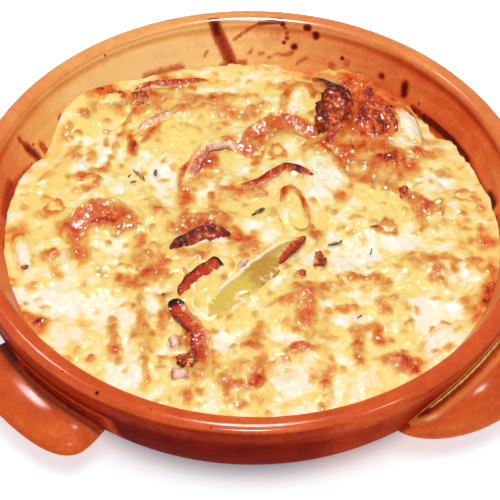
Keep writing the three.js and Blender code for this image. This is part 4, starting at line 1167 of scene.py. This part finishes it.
def make_gratin(material):
    side = [(radius - SIDE_CLEARANCE, z + FLOOR_CLEARANCE) for radius, z in INNER_WALL if z < SIDE_TOP]
    mesh = make_gratin_mesh(len(side))
    points = get_points(mesh)
    ring, angle = round_hexagon(points)
    edge_x, edge_y = np.cos(angle) * SHORE_RADIUS, np.sin(angle) * SHORE_RADIUS
    ragged = 0.3 + 0.7 * smooth(1.3 - angle_gap(np.degrees(angle), 62) / 50)
    shore = shore_height(angle) + ragged * lump_layers(edge_x, edge_y, RAGGED_SHORE)
    reach = (wall_radius(shore) + 0.3) * ring
    x, y = reach * np.cos(angle), reach * np.sin(angle)
    toast, cream = toast_at(x, y), cream_at(x, y)
    relief = crust_relief(x, y, toast, cream)
    rise, near = laps(x, y)
    rise += (shore - shore_height(angle)) * smooth((ring - 0.9) / 0.1)
    toast = np.clip(toast + 0.6 * near * (1 - near), 0, 1)
    z = crust_height(x, y) + rise + (relief - 0.9) * smooth((1 - ring) * 12) * (1 - 0.5 * near)
    level = np.round(points[:, 2])
    z = np.where((level == 0) & (ring > 0.9999), shore, z)
    for depth, (radius, height) in enumerate(side, 1):
        lower = level == -depth
        x[lower], y[lower] = radius * np.cos(angle[lower]), radius * np.sin(angle[lower])
        z[lower] = height
    paint(mesh, toast=toast, cream=cream)
    set_points(mesh, np.stack([x, y, z], 1))
    place_piece(mesh, "cheese_crust", material, "crust", "gratin")


def face_outward(bm):
    bmesh.ops.recalc_face_normals(bm, faces=bm.faces)
    if bm.calc_volume(signed=True) < 0:
        bmesh.ops.reverse_faces(bm, faces=bm.faces)


def unit_ball(sides, rows, name):
    """A ball of radius 1, with its poles above and below."""
    bm = bmesh.new()
    bmesh.ops.create_uvsphere(bm, u_segments=sides, v_segments=rows, radius=1)
    return take_mesh(bm, name)


def rough_at(points, layers=((1, 1),), seed=Vector()):
    """Noise about 0 at each point, in layers of a strength and a rate."""
    return np.array([sum(strength * noise.noise(Vector(p) * rate + seed) for strength, rate in layers)
                     for p in points])


def above_cheese(points):
    """How far each point stands out of the cheese around it."""
    x, y, z = points.T
    return z - crust_height(x, y) - laps(x, y)[0]


def follow(line, along):
    """The place and the direction at each share of the way along a line, and the line's length."""
    steps = np.linalg.norm(np.diff(line, axis=0), axis=1)
    travelled = np.concatenate([[0], np.cumsum(steps)]) / steps.sum()
    slopes = np.gradient(line, travelled, axis=0)
    place, direction = [np.column_stack([np.interp(along, travelled, values[:, k]) for k in range(3)])
                        for values in (line, slopes)]
    return place, direction / np.linalg.norm(direction, axis=1)[:, None], steps.sum()


def make_strip(name, finishes):
    path, width, thickness, lean, lift = STRIPS[name]
    look, slot, scorches, (dark_edge, edge_burn), ruffle, veil, dives = STRIP_LOOKS[name]
    mesh = unit_ball(STRIP_SIDES, STRIP_ROWS, name)
    ball = get_points(mesh)
    along = np.arccos(np.clip(-ball[:, 2], -1, 1)) / math.pi
    girth = np.maximum(np.hypot(ball[:, 0], ball[:, 1]), 1e-9)
    across, over = ball[:, 0] / girth, ball[:, 1] / girth
    plan = catmull(path, 12)
    line = np.column_stack([plan, crust_height(plan[:, 0], plan[:, 1]) + lift])
    centre, tangent, length = follow(line, along)
    level = np.cross((0, 0, 1), tangent)
    level /= np.linalg.norm(level, axis=1)[:, None]
    turn = math.radians(lean)
    side = level * math.cos(turn) + np.cross(tangent, level) * math.sin(turn)
    normal = np.cross(tangent, side)
    # A free end is cut square, and one that dives under the cheese tapers
    tapers = [TAPER if dive else SQUARE_END for dive in dives]
    blunt = np.sqrt(np.clip(1 - np.abs(2 * along - 1) ** np.where(along < 0.5, *tapers), 0, 1))
    for dive, from_end in zip(dives, (along, 1 - along)):
        centre[:, 2] -= dive * smooth(1 - from_end / DIVE_SHARE)
    ones = np.ones_like(along)
    wander = rough_at(np.column_stack([along * length / 6, across, 3 * ones]))
    waist = rough_at(np.column_stack([along * length / 7, 3 * np.sign(across), ones]))
    waist = 1 + (0.16 + 0.25 * ruffle) * waist
    out = np.sign(across) * np.abs(across) ** 0.75 * blunt * waist * width / 2
    rise = np.sign(over) * np.abs(over) ** 0.7 * blunt * thickness / 2
    rise += ruffle * (wander * 2 * np.abs(across) + 1.2 * (across ** 2 - 0.4)) * blunt
    points = centre + side * out[:, None] + normal * rise[:, None]
    rough = rough_at(points, [(1, 0.35), (0.8, 0.8), (0.4, 1.9)]) * (0.2 if look == "pepper" else 0.7)
    points += normal * (rough * blunt)[:, None]
    burn = edge_burn * smooth((dark_edge * across - 0.55) / 0.35)
    for place, spread, strength in scorches:
        burn += strength * np.exp(-((along - place) / spread) ** 2)
    bm = bmesh.new()
    bm.from_mesh(mesh)
    for vertex, point in zip(bm.verts, points):
        vertex.co = point
    face_outward(bm)
    bm.to_mesh(mesh)
    bm.free()
    x, y, _ = points.T
    shade = across * dark_edge
    cover = veil * (0.4 + 1.2 * smooth(0.3 - shade)) + smooth((0.6 - above_cheese(points)) / 1.2)
    toast = np.minimum(toast_at(x, y) + burn * (look == "crust"), 0.74)
    paint(mesh, along=along, across=shade, burn=np.clip(burn, 0, 1), cover=cover, toast=toast,
          cream=cream_at(x, y))
    set_points(mesh, points)
    place_piece(mesh, name + "_piece", finishes[look], slot, name)


def make_chunk(name, finishes):
    x, y, size, turn, lean, lift, square, look, slot, (rim, rim_facing), pale = CHUNKS[name]
    mesh = unit_ball(CHUNK_SIDES, CHUNK_ROWS, name)
    ball = get_points(mesh)
    ball *= (np.sum(np.abs(ball) ** square, axis=1) ** (-1 / square))[:, None]
    across, edge = ball[:, 0].copy(), np.hypot(ball[:, 0], ball[:, 1])
    points = ball * np.array(size)
    rate = 0.16 if min(size) > 4 else 0.3
    rough = rough_at(points, [(1, rate), (0.6, rate * 2.5), (0.3, rate * 6)], Vector((x, y, 0)) * 0.37)
    depth = min(4, 0.8 * min(size)) if look == "char" else min(1.4, 0.32 * min(size))
    points += ball * rough[:, None] * depth
    spin = Matrix.Rotation(math.radians(turn), 3, "Z") @ Matrix.Rotation(math.radians(lean), 3, "Y")
    points = points @ np.array(spin).T
    points += (x, y, float(crust_height(x, y)) + lift)
    px, py, _ = points.T
    facing = np.cos(np.arctan2(py - y, px - x) - math.radians(rim_facing))
    browned = rim * smooth((edge - 0.4) / 0.3) * smooth(0.75 + facing) * (0.8 + 0.9 * lumps(px, py, 4))
    charred = look == "char"
    burn = np.clip(rough * 0.3 + charred * browned, 0, 1)
    toast = np.clip(toast_at(px, py) * (0.25 if look == "crust" else 1) + browned, 0, 1)
    cream = np.clip(cream_at(px, py) + pale, -0.6, 1)
    cover = smooth((0.5 - above_cheese(points)) / 1.2) + 0.18 * charred
    paint(mesh, across=across, burn=burn, toast=toast, cream=cream, cover=cover)
    set_points(mesh, points)
    place_piece(mesh, name + "_piece", finishes[look], slot, name)


def make_herbs(material):
    """Thin flakes of leaf and scorched specks, lying on the crust."""
    bm = bmesh.new()
    for x, y, half_length, half_width, turn in HERBS:
        height = float(crust_height(x, y)) + 1.0
        made = bmesh.ops.create_uvsphere(bm, u_segments=10, v_segments=7, radius=1)["verts"]
        spin = Matrix.Rotation(math.radians(turn), 3, "Z")
        for vertex in made:
            ragged = 1 + 0.5 * noise.noise(vertex.co * 1.4 + Vector((x, y, 0)))
            flake = vertex.co * Vector((half_length, half_width, 0.6)) * ragged
            vertex.co = spin @ flake + Vector((x, y, height))
    mesh = take_mesh(bm, "herbs")
    set_points(mesh, get_points(mesh))
    place_piece(mesh, "herb_flecks", material, "pepper")


def main():
    add_camera()
    add_studio()
    add_floor()
    finishes = {
        "crust": make_crust_finish(),
        "bacon": make_bacon_finish(),
        "char": make_char_finish(),
        "onion": make_onion_finish(),
        "pepper": make_pepper_finish(),
    }
    make_dish(make_glaze_finish())
    make_gratin(finishes["crust"])
    for name in STRIPS:
        make_strip(name, finishes)
    for name in CHUNKS:
        make_chunk(name, finishes)
    make_herbs(make_herb_finish())
    bpy.context.scene.view_settings.view_transform = "Standard"


main()
